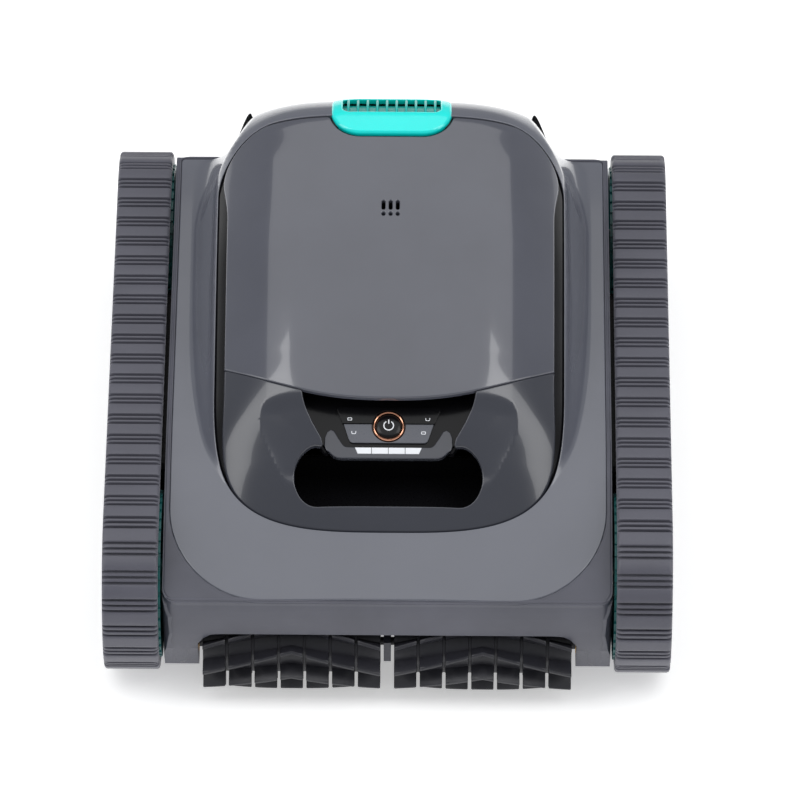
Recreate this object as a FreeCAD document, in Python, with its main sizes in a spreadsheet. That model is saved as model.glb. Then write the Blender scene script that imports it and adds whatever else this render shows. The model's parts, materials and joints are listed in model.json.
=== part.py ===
import FreeCAD, Part

import math
import os
import re
from types import SimpleNamespace

from FreeCAD import Placement, Rotation, Vector

# Cordless robotic pool cleaner. Millimetres. +X is the cleaner's own left, -Y is its front with the two
# brushes, +Z is up, and the origin is on the floor in the middle of the footprint of the two tracks.

doc = FreeCAD.newDocument("PoolCleaner")

# ---------------------------------------------------------------- driving dimensions
DIMENSIONS = {
    "track_width": 410.0,
    "belt_width": 40.0,
    "wheel_base": 321.7,
    "tread_radius": 69.8,
    "tread_count": 54,
    "tread_phase": 10.65,
    "groove_depth": 3.2,
    "groove_width": 1.6,
    "groove_spacing": 3.8,
    "carcass_inner": 61.4,
    "neutral_radius": 64.0,
    "belt_tooth_height": 2.4,
    "belt_tooth_width": 4.2,
    "wheel_teeth": 40,
    "rim_radius": 61.0,
    "rim_bore": 56.0,
    "pocket_depth": 3.2,
    "pocket_width": 5.4,
    "axle_radius": 7.0,
    "hub_radius": 14.0,
    "bush_radius": 10.0,
    "running_gap": 0.05,
    "hull_half_width": 162.0,
    "hull_wall": 3.0,
    "hull_floor": 18.0,
    "cheek_bottom": 15.0,
    "cheek_inner": 137.0,
    "bumper_front": 215.5,
    "hull_rear": 194.0,
    "chamber_radius": 38.0,
    "chamber_lip": 68.0,
    "deck_height": 132.0,
    "hood_start": -60.0,
    "hood_drop": 31.0,
    "hood_length": 151.0,
    "deck_lip": 4.0,
    "shell_half_width": 158.0,
    "shell_front": 211.0,
    "shell_rear": 191.4,
    "shell_corner": 68.0,
    "shell_wall": 3.0,
    "dome_inner_edge": 126.0,
    "dome_rear_narrowing": 26.0,
    "narrowing_start": 114.0,
    "narrowing_length": 50.0,
    "dome_outer_edge": 149.0,
    "dome_crown": 42.0,
    "dome_tail_start": 134.0,
    "dome_tail_length": 68.0,
    "dome_tail_drop": 120.0,
    "island_half_width": 127.2,
    "island_middle": -48.2,
    "island_length": 113.0,
    "island_squareness": 3.4,
    "island_rear_corner": 43.0,
    "lid_wall": 3.2,
    "lid_gap": 1.0,
    "seam_front": -88.0,
    "seam_rise": 37.6,
    "hinge_y": 134.5,
    "hinge_z": 231.0,
    "hinge_radius": 4.2,
    "pin_radius": 1.5,
    "cap_half_width": 44.6,
    "cap_front": 121.3,
    "cap_rear": 178.0,
    "cap_rise": 3.2,
    "brush_y": -195.0,
    "brush_z": 36.0,
    "brush_radius": 35.0,
    "brush_core_radius": 22.0,
    "brush_inner_end": 5.0,
    "brush_outer_end": 133.5,
    "shaft_radius": 5.0,
    "gear_module": 1.5,
    "gear_width": 8.0,
    "gear_start": 142.0,
    "front_teeth": 24,
    "idler_teeth": 14,
    "rear_teeth": 28,
    "motor_y": 129.35,
    "motor_radius": 18.0,
    "roller_radius": 13.0,
    "roller_z": 24.3,
    "basket_half_width": 92.0,
    "basket_front": -62.0,
    "basket_rear": 78.0,
    "basket_floor": 80.0,
    "basket_rim": 158.0,
    "basket_wall": 2.0,
    "box_half_width": 80.0,
    "box_front": -20.0,
    "box_rear": 105.0,
    "box_floor": 21.0,
    "box_top": 74.0,
    "pump_y": 120.0,
    "pump_z": 140.0,
    "pump_tilt": 20.0,
    "duct_radius": 30.0,
    "duct_bore": 27.5,
    "impeller_radius": 26.0,
    "pod_tip_y": -118.6,
    "pod_tip_z": 152.0,
    "pod_slope": 18.0,
    "pod_thickness": 6.0,
    "button_up": 23.7,
    "button_radius": 9.6,
    "ring_radius": 11.6,
    "slot_half_width": 68.0,
    "slot_front": -147.0,
    "slot_rear": -112.0,
}
sheet = doc.addObject("Spreadsheet::Sheet", "dims")
for row, (alias, number) in enumerate(DIMENSIONS.items(), start=1):
    sheet.set(f"A{row}", alias)
    sheet.set(f"B{row}", str(number))
    sheet.setAlias(f"B{row}", alias)
doc.recompute()
dim = SimpleNamespace(**{alias: float(sheet.get(alias)) for alias in DIMENSIONS})
ALIASES = re.compile(r"\b(" + "|".join(sorted(DIMENSIONS, key=len, reverse=True)) + r")\b")


def bind(obj, prop, value):
    """Sets a property to a number, or ties it to the sheet where the value is a formula."""
    if isinstance(value, str):
        obj.setExpression(prop, ALIASES.sub(r"dims.\1", value))
    else:
        setattr(obj, prop, value)


# ---------------------------------------------------------------- builders
parts = []
UPRIGHT = Rotation()
ALONG_X = Rotation(Vector(0, 1, 0), 90)
ALONG_Y = Rotation(Vector(1, 0, 0), -90)


def place(obj, at, turn=UPRIGHT):
    """Turns an object and puts its base at a point whose coordinates are numbers or formulas."""
    numbers = [0.0 if isinstance(value, str) else value for value in at]
    obj.Placement = Placement(Vector(*numbers), turn)
    for axis, value in zip("xyz", at):
        if isinstance(value, str):
            bind(obj, "Placement.Base." + axis, value)
    return obj


def box(low, high):
    """A box between two corners, each given as three numbers or formulas."""
    made = doc.addObject("Part::Box", "box")
    for side, a, b in zip(("Length", "Width", "Height"), low, high):
        bind(made, side, f"({b}) - ({a})")
    return place(made, low)


def rod(at, radius, length, turn=ALONG_X):
    """A cylinder that starts at a point and runs along its turned axis."""
    made = doc.addObject("Part::Cylinder", "rod")
    bind(made, "Radius", radius)
    bind(made, "Height", length)
    return place(made, at, turn)


def fuse(*shapes):
    if len(shapes) == 1:
        return shapes[0]
    made = doc.addObject("Part::MultiFuse", "fuse")
    made.Shapes = list(shapes)
    return made


def cut(base, *tools):
    made = doc.addObject("Part::Cut", "cut")
    made.Base = base
    made.Tool = fuse(*tools)
    return made


def common(*shapes):
    made = doc.addObject("Part::MultiCommon", "common")
    made.Shapes = list(shapes)
    return made


def group(*shapes):
    """Separate solids that share one node, such as a set of screws."""
    made = doc.addObject("Part::Compound", "group")
    made.Links = list(shapes)
    return made


def mirror(source):
    """The same piece on the other side of the cleaner."""
    made = doc.addObject("Part::Mirroring", "mirror")
    made.Source = source
    made.Normal = Vector(1, 0, 0)
    return made


def both(source):
    return fuse(source, mirror(source))


def tube(at, outer, bore, length, turn=ALONG_X):
    return cut(rod(at, outer, length, turn), rod(at, bore, length, turn))


def formed(shape):
    """A solid with a shape that no primitive gives, worked out from the sheet's sizes."""
    made = doc.addObject("Part::Feature", "formed")
    made.Shape = shape
    return made


def prism(outline, plane, start, end):
    """A PartDesign body: a closed sketch of straight edges, padded between two places on the plane's normal."""
    body = doc.addObject("PartDesign::Body", "prism")
    sketch = body.newObject("Sketcher::SketchObject", "outline")
    role = next(feature for feature in body.Origin.OriginFeatures if feature.Role == plane)
    sketch.AttachmentSupport = [(role, "")]
    sketch.MapMode = "FlatFace"
    corners = [Vector(a, b, 0) for a, b in outline]
    edges = zip(corners, corners[1:] + corners[:1])
    sketch.addGeometry([Part.LineSegment(a, b) for a, b in edges])
    sketch.setExpression("AttachmentOffset.Base.z", ALIASES.sub(r"dims.\1", str(start)))
    pad = body.newObject("PartDesign::Pad", "pad")
    pad.Profile = sketch
    bind(pad, "Length", f"({end}) - ({start})")
    return body


def across(outline, start, end):
    """A prism along X, with its outline given as (y, z)."""
    return prism(outline, "YZ_Plane", start, end)


def upright(outline, start, end):
    """A prism along Z, with its outline given as (x, y)."""
    return prism(outline, "XY_Plane", start, end)


def keep(name, obj):
    obj.Label = name
    parts.append(obj)
    return obj


def keep_pair(name, obj):
    """The cleaner's left piece and its mirror image on the right."""
    keep(name + "_left", obj)
    keep(name + "_right", mirror(obj))


# ---------------------------------------------------------------- outlines and formulas
def arc(centre, radius, start, end, steps):
    """Points along an arc, its angles in degrees."""
    turns = [math.radians(start + (end - start) * i / steps) for i in range(steps + 1)]
    return [(centre[0] + radius * math.cos(a), centre[1] + radius * math.sin(a)) for a in turns]


def rounded(low, high, radius, steps=5):
    """A rectangle with rounded corners."""
    (x0, y0), (x1, y1) = low, high
    corners = [((x1 - radius, y1 - radius), 0), ((x0 + radius, y1 - radius), 90),
               ((x0 + radius, y0 + radius), 180), ((x1 - radius, y0 + radius), 270)]
    return [point for centre, start in corners for point in arc(centre, radius, start, start + 90, steps)]


def through(points, at):
    """A smooth curve through points, as a cubic between each two with slopes from their neighbours."""
    last = len(points) - 1
    at = max(at, points[0][0])
    index = max(i for i in range(last) if i == 0 or points[i][0] <= at)
    slopes = []
    for i in (index, index + 1):
        (a, low), (b, high) = points[max(i - 1, 0)], points[min(i + 1, last)]
        slopes.append((high - low) / (b - a))
    (start, low), (end, high) = points[index], points[index + 1]
    span = end - start
    u = (at - start) / span
    return (low * (2 * u ** 3 - 3 * u ** 2 + 1) + slopes[0] * span * (u ** 3 - 2 * u ** 2 + u)
            + high * (3 * u ** 2 - 2 * u ** 3) + slopes[1] * span * (u ** 3 - u ** 2))


def smooth_step(value):
    value = min(max(value, 0.0), 1.0)
    return value * value * (3 - 2 * value)


def deck(y):
    """Height of the flat deck beside the dome, which dips over the front into the hood."""
    forward = max(dim.hood_start - y, 0.0) / dim.hood_length
    return dim.deck_height - dim.hood_drop * forward ** 1.9


def deck_line(drop):
    """The deck seen from the side, as straight runs between (y, z) points, lowered by a drop."""
    steps = (-218.0, -211.0, -200.0, -185.0, -170.0, -150.0, -130.0, -110.0, -80.0, -60.0, 200.0)
    return [(y, deck(y) - drop) for y in steps]


# Centre line of the dome, from the front of the handle cover to the start of its rounded tail, as (y, z).
SPINE = [(-175.0, 102.0), (-160.3, 118.0), (-146.6, 132.0), (-118.0, 159.0), (-87.8, 182.0), (-50.0, 198.0),
         (0.0, 215.0), (50.0, 229.0), (100.0, 236.0), (134.0, 238.0)]


def dome(x, y):
    """Height of the dome: its centre line, its crowned tail and the fall towards both sides."""
    if y <= dim.dome_tail_start:
        height = through(SPINE, y)
    else:
        back = min((y - dim.dome_tail_start) / dim.dome_tail_length, 1.0)
        height = SPINE[-1][1] - dim.dome_tail_drop * (1 - math.sqrt(1 - back * back))
    return height - dim.dome_crown * (abs(x) / 128.0) ** 4


def shell(x, y):
    """Height of the upper shell: the dome, blended down its steep flanks to the deck."""
    narrowing = dim.dome_rear_narrowing * smooth_step((y - dim.narrowing_start) / dim.narrowing_length)
    inner = dim.dome_inner_edge - narrowing
    flank = (abs(x) - inner) / (dim.dome_outer_edge - inner)
    base = deck(y)
    rise = dome(x, y) - base
    rise = 0.5 * (rise + math.sqrt(rise * rise + 9.0))
    return base + rise * (1 - smooth_step(flank))


def shell_inside(x, y):
    return shell(abs(x) + dim.shell_wall, y) - dim.shell_wall


def skin(height, columns=53, rows=43, half_width=162.0, rear=196.0, front=-214.0):
    """A curved face over the whole top, from a height formula."""
    grid = []
    for i in range(columns):
        x = -half_width + 2 * half_width * i / (columns - 1)
        ys = [front + (rear - front) * j / (rows - 1) for j in range(rows)]
        grid.append([Vector(x, y, height(x, y)) for y in ys])
    surface = Part.BSplineSurface()
    surface.interpolate(grid)
    return surface.toShape()


def under(height, depth=200.0):
    """Everything under a height formula, down to a depth below it."""
    return formed(skin(height).extrude(Vector(0, 0, -depth)))


def island(inset=0.0, steps=20):
    """Outline of the lid and the handle cover together, as (x, y)."""
    half = dim.island_half_width - inset
    length = dim.island_length - inset
    rear = dim.hinge_y + dim.hinge_radius + 0.5 - inset
    corner = dim.island_rear_corner - inset
    power = 2 / dim.island_squareness
    front = []
    for i in range(1, 2 * steps):
        a = math.pi * i / (2 * steps)
        across_x = math.copysign(abs(math.cos(a)) ** power, math.cos(a))
        front.append((-half * across_x, dim.island_middle - length * math.sin(a) ** power))
    right = arc((half - corner, rear - corner), corner, 0, 90, 6)
    left = arc((corner - half, rear - corner), corner, 90, 180, 6)
    return front + right + left


def shell_plan(inset, rear):
    """Outline of the upper shell in plan: large round corners at the front, square ones at the rear."""
    half, front = dim.shell_half_width - inset, -dim.shell_front + inset
    corner = dim.shell_corner - inset
    left = arc((corner - half, front + corner), corner, 180, 270, 10)
    right = arc((half - corner, front + corner), corner, 270, 360, 10)
    return left + right + [(half, rear), (-half, rear)]


def seam(x):
    """Where the lid meets the handle cover, as y."""
    return dim.seam_front + dim.seam_rise * (min(abs(x), 128.0) / 118.0) ** 2.7


def behind_seam(gap, reach):
    """Plan outline of everything behind the seam, or in front of it with a negative reach."""
    xs = [-135 + 270 * i / 24 for i in range(25)]
    line = [(x, seam(x) + gap) for x in xs]
    return line + [(135.0, reach), (-135.0, reach)]


def belt_point(s, radius):
    """A point beside the belt's neutral line, at a length along the line and a radius from the wheel's axis."""
    half, height = dim.wheel_base / 2, dim.tread_radius
    turn = math.pi * dim.neutral_radius
    s %= 2 * (dim.wheel_base + turn)
    if s < dim.wheel_base:
        return half - s, height + radius
    s -= dim.wheel_base
    if s < turn:
        a = math.pi / 2 + s / dim.neutral_radius
        return -half + radius * math.cos(a), height + radius * math.sin(a)
    s -= turn
    if s < dim.wheel_base:
        return -half + s, height - radius
    a = -math.pi / 2 + (s - dim.wheel_base) / dim.neutral_radius
    return half + radius * math.cos(a), height + radius * math.sin(a)


def face_of(outline, inner=None):
    """A flat face in the YZ plane from an outline of (y, z), with an optional hole."""
    faces = []
    for loop in (outline, inner):
        if loop:
            points = [Vector(0, y, z) for y, z in loop]
            faces.append(Part.Face(Part.makePolygon(points + points[:1])))
    return faces[0].cut(faces[1]).Faces[0] if inner else faces[0]


def gear_outline(teeth, phase=0.0, backlash=0.16, pressure=25.0):
    """Involute gear outline about its own axis, its first tooth at the phase angle in degrees."""
    module = dim.gear_module
    pitch = module * teeth / 2
    base = pitch * math.cos(math.radians(pressure))
    tip = pitch + 0.92 * module
    root = pitch - 1.2 * module

    def involute(radius):
        ratio = max(radius / base, 1.0)
        a = math.sqrt(ratio * ratio - 1)
        return a - math.atan(a)

    half_tooth = math.pi / (2 * teeth) - backlash / (2 * pitch)
    flank = [max(base, root) + (tip - max(base, root)) * i / 4 for i in range(5)]
    points = []
    for tooth in range(int(teeth)):
        middle = math.radians(phase) + 2 * math.pi * tooth / teeth
        rising = [(r, -(half_tooth + involute(pitch) - involute(r))) for r in flank]
        sides = [(root, rising[0][1])] + rising if root < base else rising
        sides = sides + [(r, -a) for r, a in reversed(sides)]
        points += [(r * math.cos(middle + a), r * math.sin(middle + a)) for r, a in sides]
    return points


def gear_phase(teeth, phase, next_teeth, direction):
    """Phase of a gear that meshes with another one, which lies at a direction from it, in degrees."""
    own = teeth * math.radians(direction - phase)
    return direction + 180 - math.degrees((math.pi - own) / next_teeth)


def gear(teeth, phase, at, bore):
    """A spur gear on an axis along X, at (y, z), with a bore."""
    outline = [(at[0] + y, at[1] + z) for y, z in gear_outline(teeth, phase)]
    hole = arc(at, bore, 0, 360, 36)[:-1] if bore else None
    solid = face_of(outline, hole).extrude(Vector(dim.gear_width, 0, 0))
    solid.translate(Vector(dim.gear_start, 0, 0))
    return formed(solid)


# ---------------------------------------------------------------- lower hull and its bearings
AXLES = (-dim.wheel_base / 2, dim.wheel_base / 2)


def hull_profile(inset=0.0):
    """Side outline of the hull as (y, z): leaning bumper, dipping deck, upright rear, sloped underside."""
    front = [(-200.6, dim.cheek_bottom), (-213.0, 48.0), (-dim.bumper_front, 68.0), (-214.8, 86.0)]
    top = deck_line(dim.deck_lip)[1:-1]
    rear = [(dim.hull_rear, deck(0) - dim.deck_lip), (dim.hull_rear, 40.0), (176.0, dim.hull_floor)]
    floor = [(-150.0, dim.hull_floor), (-165.0, dim.cheek_bottom)]
    outline = front + top + rear + floor
    return [(y - math.copysign(inset, y + 10), z - math.copysign(inset, z - 60)) for y, z in outline]


def idler_centre():
    """Centre of the brush idler gear, which meshes with the front axle's gear and the brush's gear."""
    first = dim.gear_module * (dim.front_teeth + dim.idler_teeth) / 2
    second = dim.gear_module * dim.idler_teeth
    dy, dz = dim.brush_y - AXLES[0], dim.brush_z - dim.tread_radius
    span = math.hypot(dy, dz)
    along = (first ** 2 - second ** 2 + span ** 2) / (2 * span)
    side = math.sqrt(first ** 2 - along ** 2)
    return (AXLES[0] + (along * dy - side * dz) / span, dim.tread_radius + (along * dz + side * dy) / span)


IDLER = idler_centre()
cavity = cut(
    across(hull_profile(dim.hull_wall), "hull_wall - hull_half_width", "hull_half_width - hull_wall"),
    rod(("-cheek_inner - hull_wall", "brush_y", "brush_z"), "chamber_radius + hull_wall",
        "2 * (cheek_inner + hull_wall)"),
    box(("-cheek_inner - hull_wall", -230.0, 0.0), ("cheek_inner + hull_wall", "brush_y", "chamber_lip + hull_wall")),
)
axle_bosses = [rod((152.0, y, "tread_radius"), "hub_radius", 8.0) for y in AXLES]
brush_boss = rod((152.0, "brush_y", "brush_z"), 11.0, 8.0)
idler_post = rod((141.0, IDLER[0], IDLER[1]), 3.0, 20.0)
motor_cradle = cut(
    box((84.0, 119.0, "hull_floor + 1"), (130.0, 139.7, 58.0)),
    rod((80.0, "motor_y", "tread_radius"), "motor_radius", 60.0),
)
screw_places = [(x, y) for x in (-130.0, -75.0, 75.0, 130.0) for y in (-90.0, 112.0)]
bush_holes = [rod((150.0, y, "tread_radius"), "bush_radius", 14.0) for y in AXLES]
bush_holes += [rod((136.0, "brush_y", "brush_z"), 8.0, 6.0), rod((150.0, "brush_y", "brush_z"), 8.0, 8.0)]
hull = cut(
    common(
        across(hull_profile(), "-hull_half_width", "hull_half_width"),
        upright(rounded((-162.0, -217.0), (162.0, 194.0), 10.0), 0.0, 140.0),
    ),
    cavity,
    rod(("-cheek_inner", "brush_y", "brush_z"), "chamber_radius", "2 * cheek_inner"),
    box(("-cheek_inner", -230.0, 0.0), ("cheek_inner", "brush_y", "chamber_lip")),
    both(rod((141.0, "brush_y", "brush_z"), "gear_module * (idler_teeth / 2 + 1) + 0.4", 10.0)),
    upright(rounded((-148.0, -185.0), (148.0, 183.0), 20.0), 90.0, 140.0),
    box((-60.0, -100.0, 10.0), (60.0, -70.0, 30.0)),
)
rim_band = deck_line(0.3) + deck_line(dim.deck_lip + 1.0)[::-1]
rim = common(
    cut(across(rim_band, "-hull_half_width", "hull_half_width"), upright(shell_plan(-0.3, 191.7), 80.0, 150.0)),
    upright(rounded((-162.0, -213.0), (162.0, 194.0), 10.0), 0.0, 140.0),
)
hull = fuse(hull, rim, both(fuse(*axle_bosses, brush_boss, idler_post, motor_cradle)),
            box((-2.6, -206.0, 26.0), (2.6, -157.0, 47.0)))
keep("lower_hull", cut(
    hull,
    both(fuse(*bush_holes)),
    rod((-4.0, "brush_y", "brush_z"), 3.05, 8.0),
    *[rod((x, y, 10.0), "2 + running_gap", 12.0, UPRIGHT) for x, y in screw_places],
))

bushes = [tube((152.0, y, "tread_radius"), "bush_radius", "axle_radius + running_gap", 11.0) for y in AXLES]
bushes += [tube((136.6, "brush_y", "brush_z"), 8.0, "shaft_radius + running_gap", 4.4),
           tube((152.0, "brush_y", "brush_z"), 8.0, "shaft_radius + running_gap", 6.0)]
bushes = group(*bushes)
keep("bearing_bushes", group(bushes, mirror(bushes)))

keep("hull_screws", group(*[
    fuse(rod((x, y, 15.8), 3.6, 2.2, UPRIGHT), rod((x, y, 15.8), 2.0, 5.2, UPRIGHT)) for x, y in screw_places
]))

# ---------------------------------------------------------------- upper shell, rear panel and outlet
above_seam = deck_line(dim.deck_lip) + [(200.0, 260.0), (-218.0, 260.0)]
cap_outline = rounded((-dim.cap_half_width, dim.cap_front), (dim.cap_half_width, dim.cap_rear), 22.0)


shell_solid = common(
    under(shell),
    upright(shell_plan(0.0, dim.shell_rear), 90.0, 260.0),
    across(above_seam, -170.0, 170.0),
)
hinge_ears = [
    box((45.0, 131.0, 227.0), (47.5, 145.0, 234.6)),
    box((68.5, 131.0, 226.0), (73.0, 142.0, 233.0)),
]
hinge_slot = box((46.0, 130.0, 200.0), (70.0, "hinge_y + 7.8", 260.0))
pin_bore = rod((44.0, "hinge_y", "hinge_z"), "pin_radius", 31.0)
upper_shell = cut(
    shell_solid,
    common(under(shell_inside), upright(shell_plan(dim.shell_wall, 200.0), 80.0, 260.0)),
    upright(island(), 90.0, 260.0),
    upright(cap_outline, 150.0, 260.0),
    both(hinge_slot),
)
upper_shell = cut(fuse(upper_shell, both(common(fuse(*hinge_ears), under(dome)))), both(pin_bore))
keep("upper_shell", upper_shell)
pin = rod((45.0, "hinge_y", "hinge_z"), "pin_radius", 28.0)
keep("lid_hinge_pins", group(pin, mirror(pin)))

socket_at = (90.0, 150.0)
panel = common(
    box((-150.0, 188.4, "deck_height - deck_lip"), (150.0, "shell_rear", 230.0)),
    under(lambda x, y: shell_inside(x, y) - 0.4),
)
vents = [box((x - 26.0, 180.0, z), (x + 26.0, 200.0, z + 3.6)) for x in (-30.0, 30.0) for z in (138.0, 146.0, 154.0)]
cover_ears = [box((x, "shell_rear", 162.6), (x + 2.6, 194.6, 166.4)) for x in (81.0, 96.4)]
cover_pin = rod((81.0, 193.3, 164.5), 0.8, 18.0)
rear_panel = fuse(
    cut(panel, *vents, rod((socket_at[0], 180.0, socket_at[1]), 9.0, 20.0, ALONG_Y)),
    *cover_ears,
    cover_pin,
)
keep("rear_panel", rear_panel)

socket = cut(
    rod((socket_at[0], 170.0, socket_at[1]), 9.0, 21.4, ALONG_Y),
    rod((socket_at[0], 176.0, socket_at[1]), 6.5, 20.0, ALONG_Y),
)
contacts = [rod((socket_at[0] + x, 175.0, socket_at[1]), 1.2, 12.0, ALONG_Y) for x in (-3.0, 3.0)]
keep("charging_socket", fuse(socket, *contacts))
keep("charging_cover", cut(
    fuse(
        box((78.0, 191.7, 138.0), (102.0, 194.2, 161.9)),
        box((84.5, 192.3, 161.0), (95.5, 194.2, 164.5)),
        rod((84.0, 193.3, 164.5), 1.7, 12.0),
    ),
    rod((80.0, 193.3, 164.5), 1.0, 20.0),
))

cap_slab = formed(skin(lambda x, y: dome(x, y) + dim.cap_rise).extrude(Vector(0, 0, -6.4)))
opening = rounded((-36.0, 141.0), (36.0, 170.0), 6.0)
keep("outlet_cap", cut(common(cap_slab, upright(cap_outline, 150.0, 260.0)), upright(opening, 150.0, 260.0)))
vane_slab = formed(skin(lambda x, y: dome(x, y) + 1.6).extrude(Vector(0, 0, -9.0)))
vane_plates = [box((7.4 * k - 0.8, 130.0, 150.0), (7.4 * k + 0.8, 180.0, 260.0)) for k in range(-4, 5)]
vane_bars = [box((-36.0, y, 150.0), (36.0, y + 1.8, 260.0)) for y in (141.0, 154.6, 168.2)]
keep("outlet_vanes", common(vane_slab, fuse(*vane_plates, *vane_bars), upright(opening, 150.0, 260.0)))

# ---------------------------------------------------------------- lid
dome_slab = skin(dome).extrude(Vector(0, 0, -dim.lid_wall))
lid = common(
    formed(dome_slab),
    upright(island(dim.lid_gap), 90.0, 260.0),
    upright(behind_seam(0.4, dim.hinge_y + 3.2), 90.0, 260.0),
)
cap_notch = box((-45.6, "cap_front - 2.9", 150.0), (45.6, 170.0, 260.0))
ear_notches = [box((x, "hinge_y - 10.5", 150.0), (x + width, 170.0, 260.0)) for x, width in ((44.0, 4.0), (68.0, 5.6))]
knuckle_notch = box((47.0, "hinge_y - 4", 150.0), (69.0, 170.0, 260.0))
knuckle = fuse(
    rod((48.0, "hinge_y", "hinge_z"), "hinge_radius", 20.0),
    box((48.0, "hinge_y - 13", "hinge_z"), (68.0, "hinge_y", "hinge_z + hinge_radius")),
)
knuckle = common(knuckle, under(dome))
vent_slots = [box((x - 0.9, 53.0, 200.0), (x + 0.9, 61.0, 240.0)) for x in (-5.0, 0.0, 5.0)]
vent_dots = [rod((x, 49.6, 200.0), 0.9, 40.0, UPRIGHT) for x in (-5.0, 0.0, 5.0)]
lid = cut(lid, cap_notch, both(fuse(*ear_notches, knuckle_notch)), *vent_slots, *vent_dots)
lid_bore = rod((46.0, "hinge_y", "hinge_z"), "pin_radius + running_gap", 26.0)
keep("lid", cut(fuse(lid, both(knuckle)), both(lid_bore)))


def ring(outer, inner):
    """The band between two insets of the island's outline."""
    return cut(upright(island(outer), 90.0, 260.0), upright(island(inner), 80.0, 270.0))


seal_slab = formed(skin(lambda x, y: dome(x, y) - dim.lid_wall).extrude(Vector(0, 0, -1.8)))
keep("lid_seal", common(seal_slab, ring(3.0, 7.0), box((-140.0, -48.0, 90.0), (140.0, 112.0, 260.0))))

well_wall = common(ring(1.2, 3.7), under(lambda x, y: dome(x, y) - 5.6), box((-140, -80, 127), (140, 112, 260)))
well_ledge = common(
    formed(skin(lambda x, y: dome(x, y) - 5.6).extrude(Vector(0, 0, -2.5))),
    ring(1.2, 10.0),
    box((-140.0, -80.0, 90.0), (140.0, 112.0, 260.0)),
)
well_foot = box((124.0, -50.0, "deck_height - deck_lip"), (149.0, 112.0, "deck_height - deck_lip + 0.8"))
keep("lid_frame", fuse(well_wall, well_ledge, both(well_foot)))

# ---------------------------------------------------------------- handle cover, grip well and control pod
POD_TURN = Rotation(Vector(1, 0, 0), dim.pod_slope)
POD_TIP = ("0", "pod_tip_y", "pod_tip_z")
recess = [(-63.0, -74.0), (-62.0, -89.0), (-46.5, -111.0)]
recess += arc((-34.0, dim.pod_tip_y + 10.0), 10.0, 200, 270, 5)
recess += [(-x, y) for x, y in reversed(recess)]
recess_inside = [(x * 0.965, max(y, -112.0) - (2.0 if y > -80 else 0.0)) for x, y in recess]
slot = rounded((-dim.slot_half_width, dim.slot_front), (dim.slot_half_width, dim.slot_rear), 17.0)
keep("handle_cover", cut(
    common(formed(dome_slab), upright(island(), 90.0, 260.0), upright(behind_seam(0.0, -175.0), 90.0, 260.0)),
    upright(recess, 90.0, 260.0),
    upright(slot, 90.0, 260.0),
))
keep("grip_well", cut(
    common(box((-71.0, -149.8, 104.0), (71.0, -96.0, 128.0)), under(lambda x, y: dome(x, y) - dim.lid_wall - 0.05)),
    box((-68.5, -147.3, 106.5), (68.5, -98.5, 150.0)),
))

rise = math.tan(math.radians(dim.pod_slope))
pod_line = [(y, dim.pod_tip_z + (y - dim.pod_tip_y) * rise) for y in (-125.0, -70.0)]
pod_band = pod_line + [(y, z - dim.pod_thickness) for y, z in reversed(pod_line)]
pod_plate = common(upright(recess, 100.0, 200.0), across(pod_band, -80.0, 80.0))
above_pod = [pod_line[0], pod_line[1], (pod_line[1][0], 260.0), (pod_line[0][0], 260.0)]
above_pod = [(y, z - (1.0 if z < 200 else 0.0)) for y, z in above_pod]
pod_walls = common(
    cut(upright(recess, 100.0, 230.0), upright(recess_inside, 90.0, 240.0)),
    across(above_pod, -80.0, 80.0),
    under(lambda x, y: dome(x, y) - dim.lid_wall - 0.2),
    box((-80.0, -110.0, 90.0), (80.0, -70.0, 230.0)),
)
button_hole = place(rod((0.0, "0", 0.0), "ring_radius", 8.0, UPRIGHT), POD_TIP, POD_TURN)
BUTTON = ("0", "pod_tip_y + button_up * cos(pod_slope)", "pod_tip_z + button_up * sin(pod_slope)")


def on_pod(shape, above):
    """Places a shape that was drawn around the button's centre on the pod's slope, at a height above it."""
    angle = math.radians(dim.pod_slope)
    y = dim.pod_tip_y + dim.button_up * math.cos(angle) - above * math.sin(angle)
    z = dim.pod_tip_z + dim.button_up * math.sin(angle) + above * math.cos(angle)
    return place(shape, (0.0, y, z), POD_TURN)


keep("control_pod", cut(fuse(pod_plate, pod_walls), on_pod(rod((0, 0, 0), "ring_radius", 8.0, UPRIGHT), -4.0)))
panel_outline = [(38.0, 14.8), (-38.0, 14.8)] + [(-x, y) for x, y in arc((24.0, -8.7), 4.0, 0, -90, 4)]
panel_outline += arc((24.0, -8.7), 4.0, -90, 0, 4)
keep("control_panel", on_pod(cut(
    upright(panel_outline, 0.0, 0.8),
    rod((0.0, 0.0, -1.0), "ring_radius + running_gap", 4.0, UPRIGHT),
), 0.0))
keep("button_ring", on_pod(tube((0.0, 0.0, 0.0), "ring_radius", "button_radius + running_gap", 5.6, UPRIGHT), -4.0))
keep("power_button", on_pod(rod((0.0, 0.0, 0.0), "button_radius", 3.8, UPRIGHT), -1.6))
segments = [box((x, -21.2, 0.0), (x + 11.4, -16.7, 0.6)) for x in (-24.0, -11.8, 0.4, 12.6)]
keep("light_bar", on_pod(group(*segments), 0.0))
icons = [box((x - 1.6, 3.4, 0.0), (x + 1.6, 6.6, 0.25)) for x in (-28.0, -19.0, 19.0, 28.0)]
keep("panel_icons", on_pod(group(*icons), 0.8))

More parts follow.
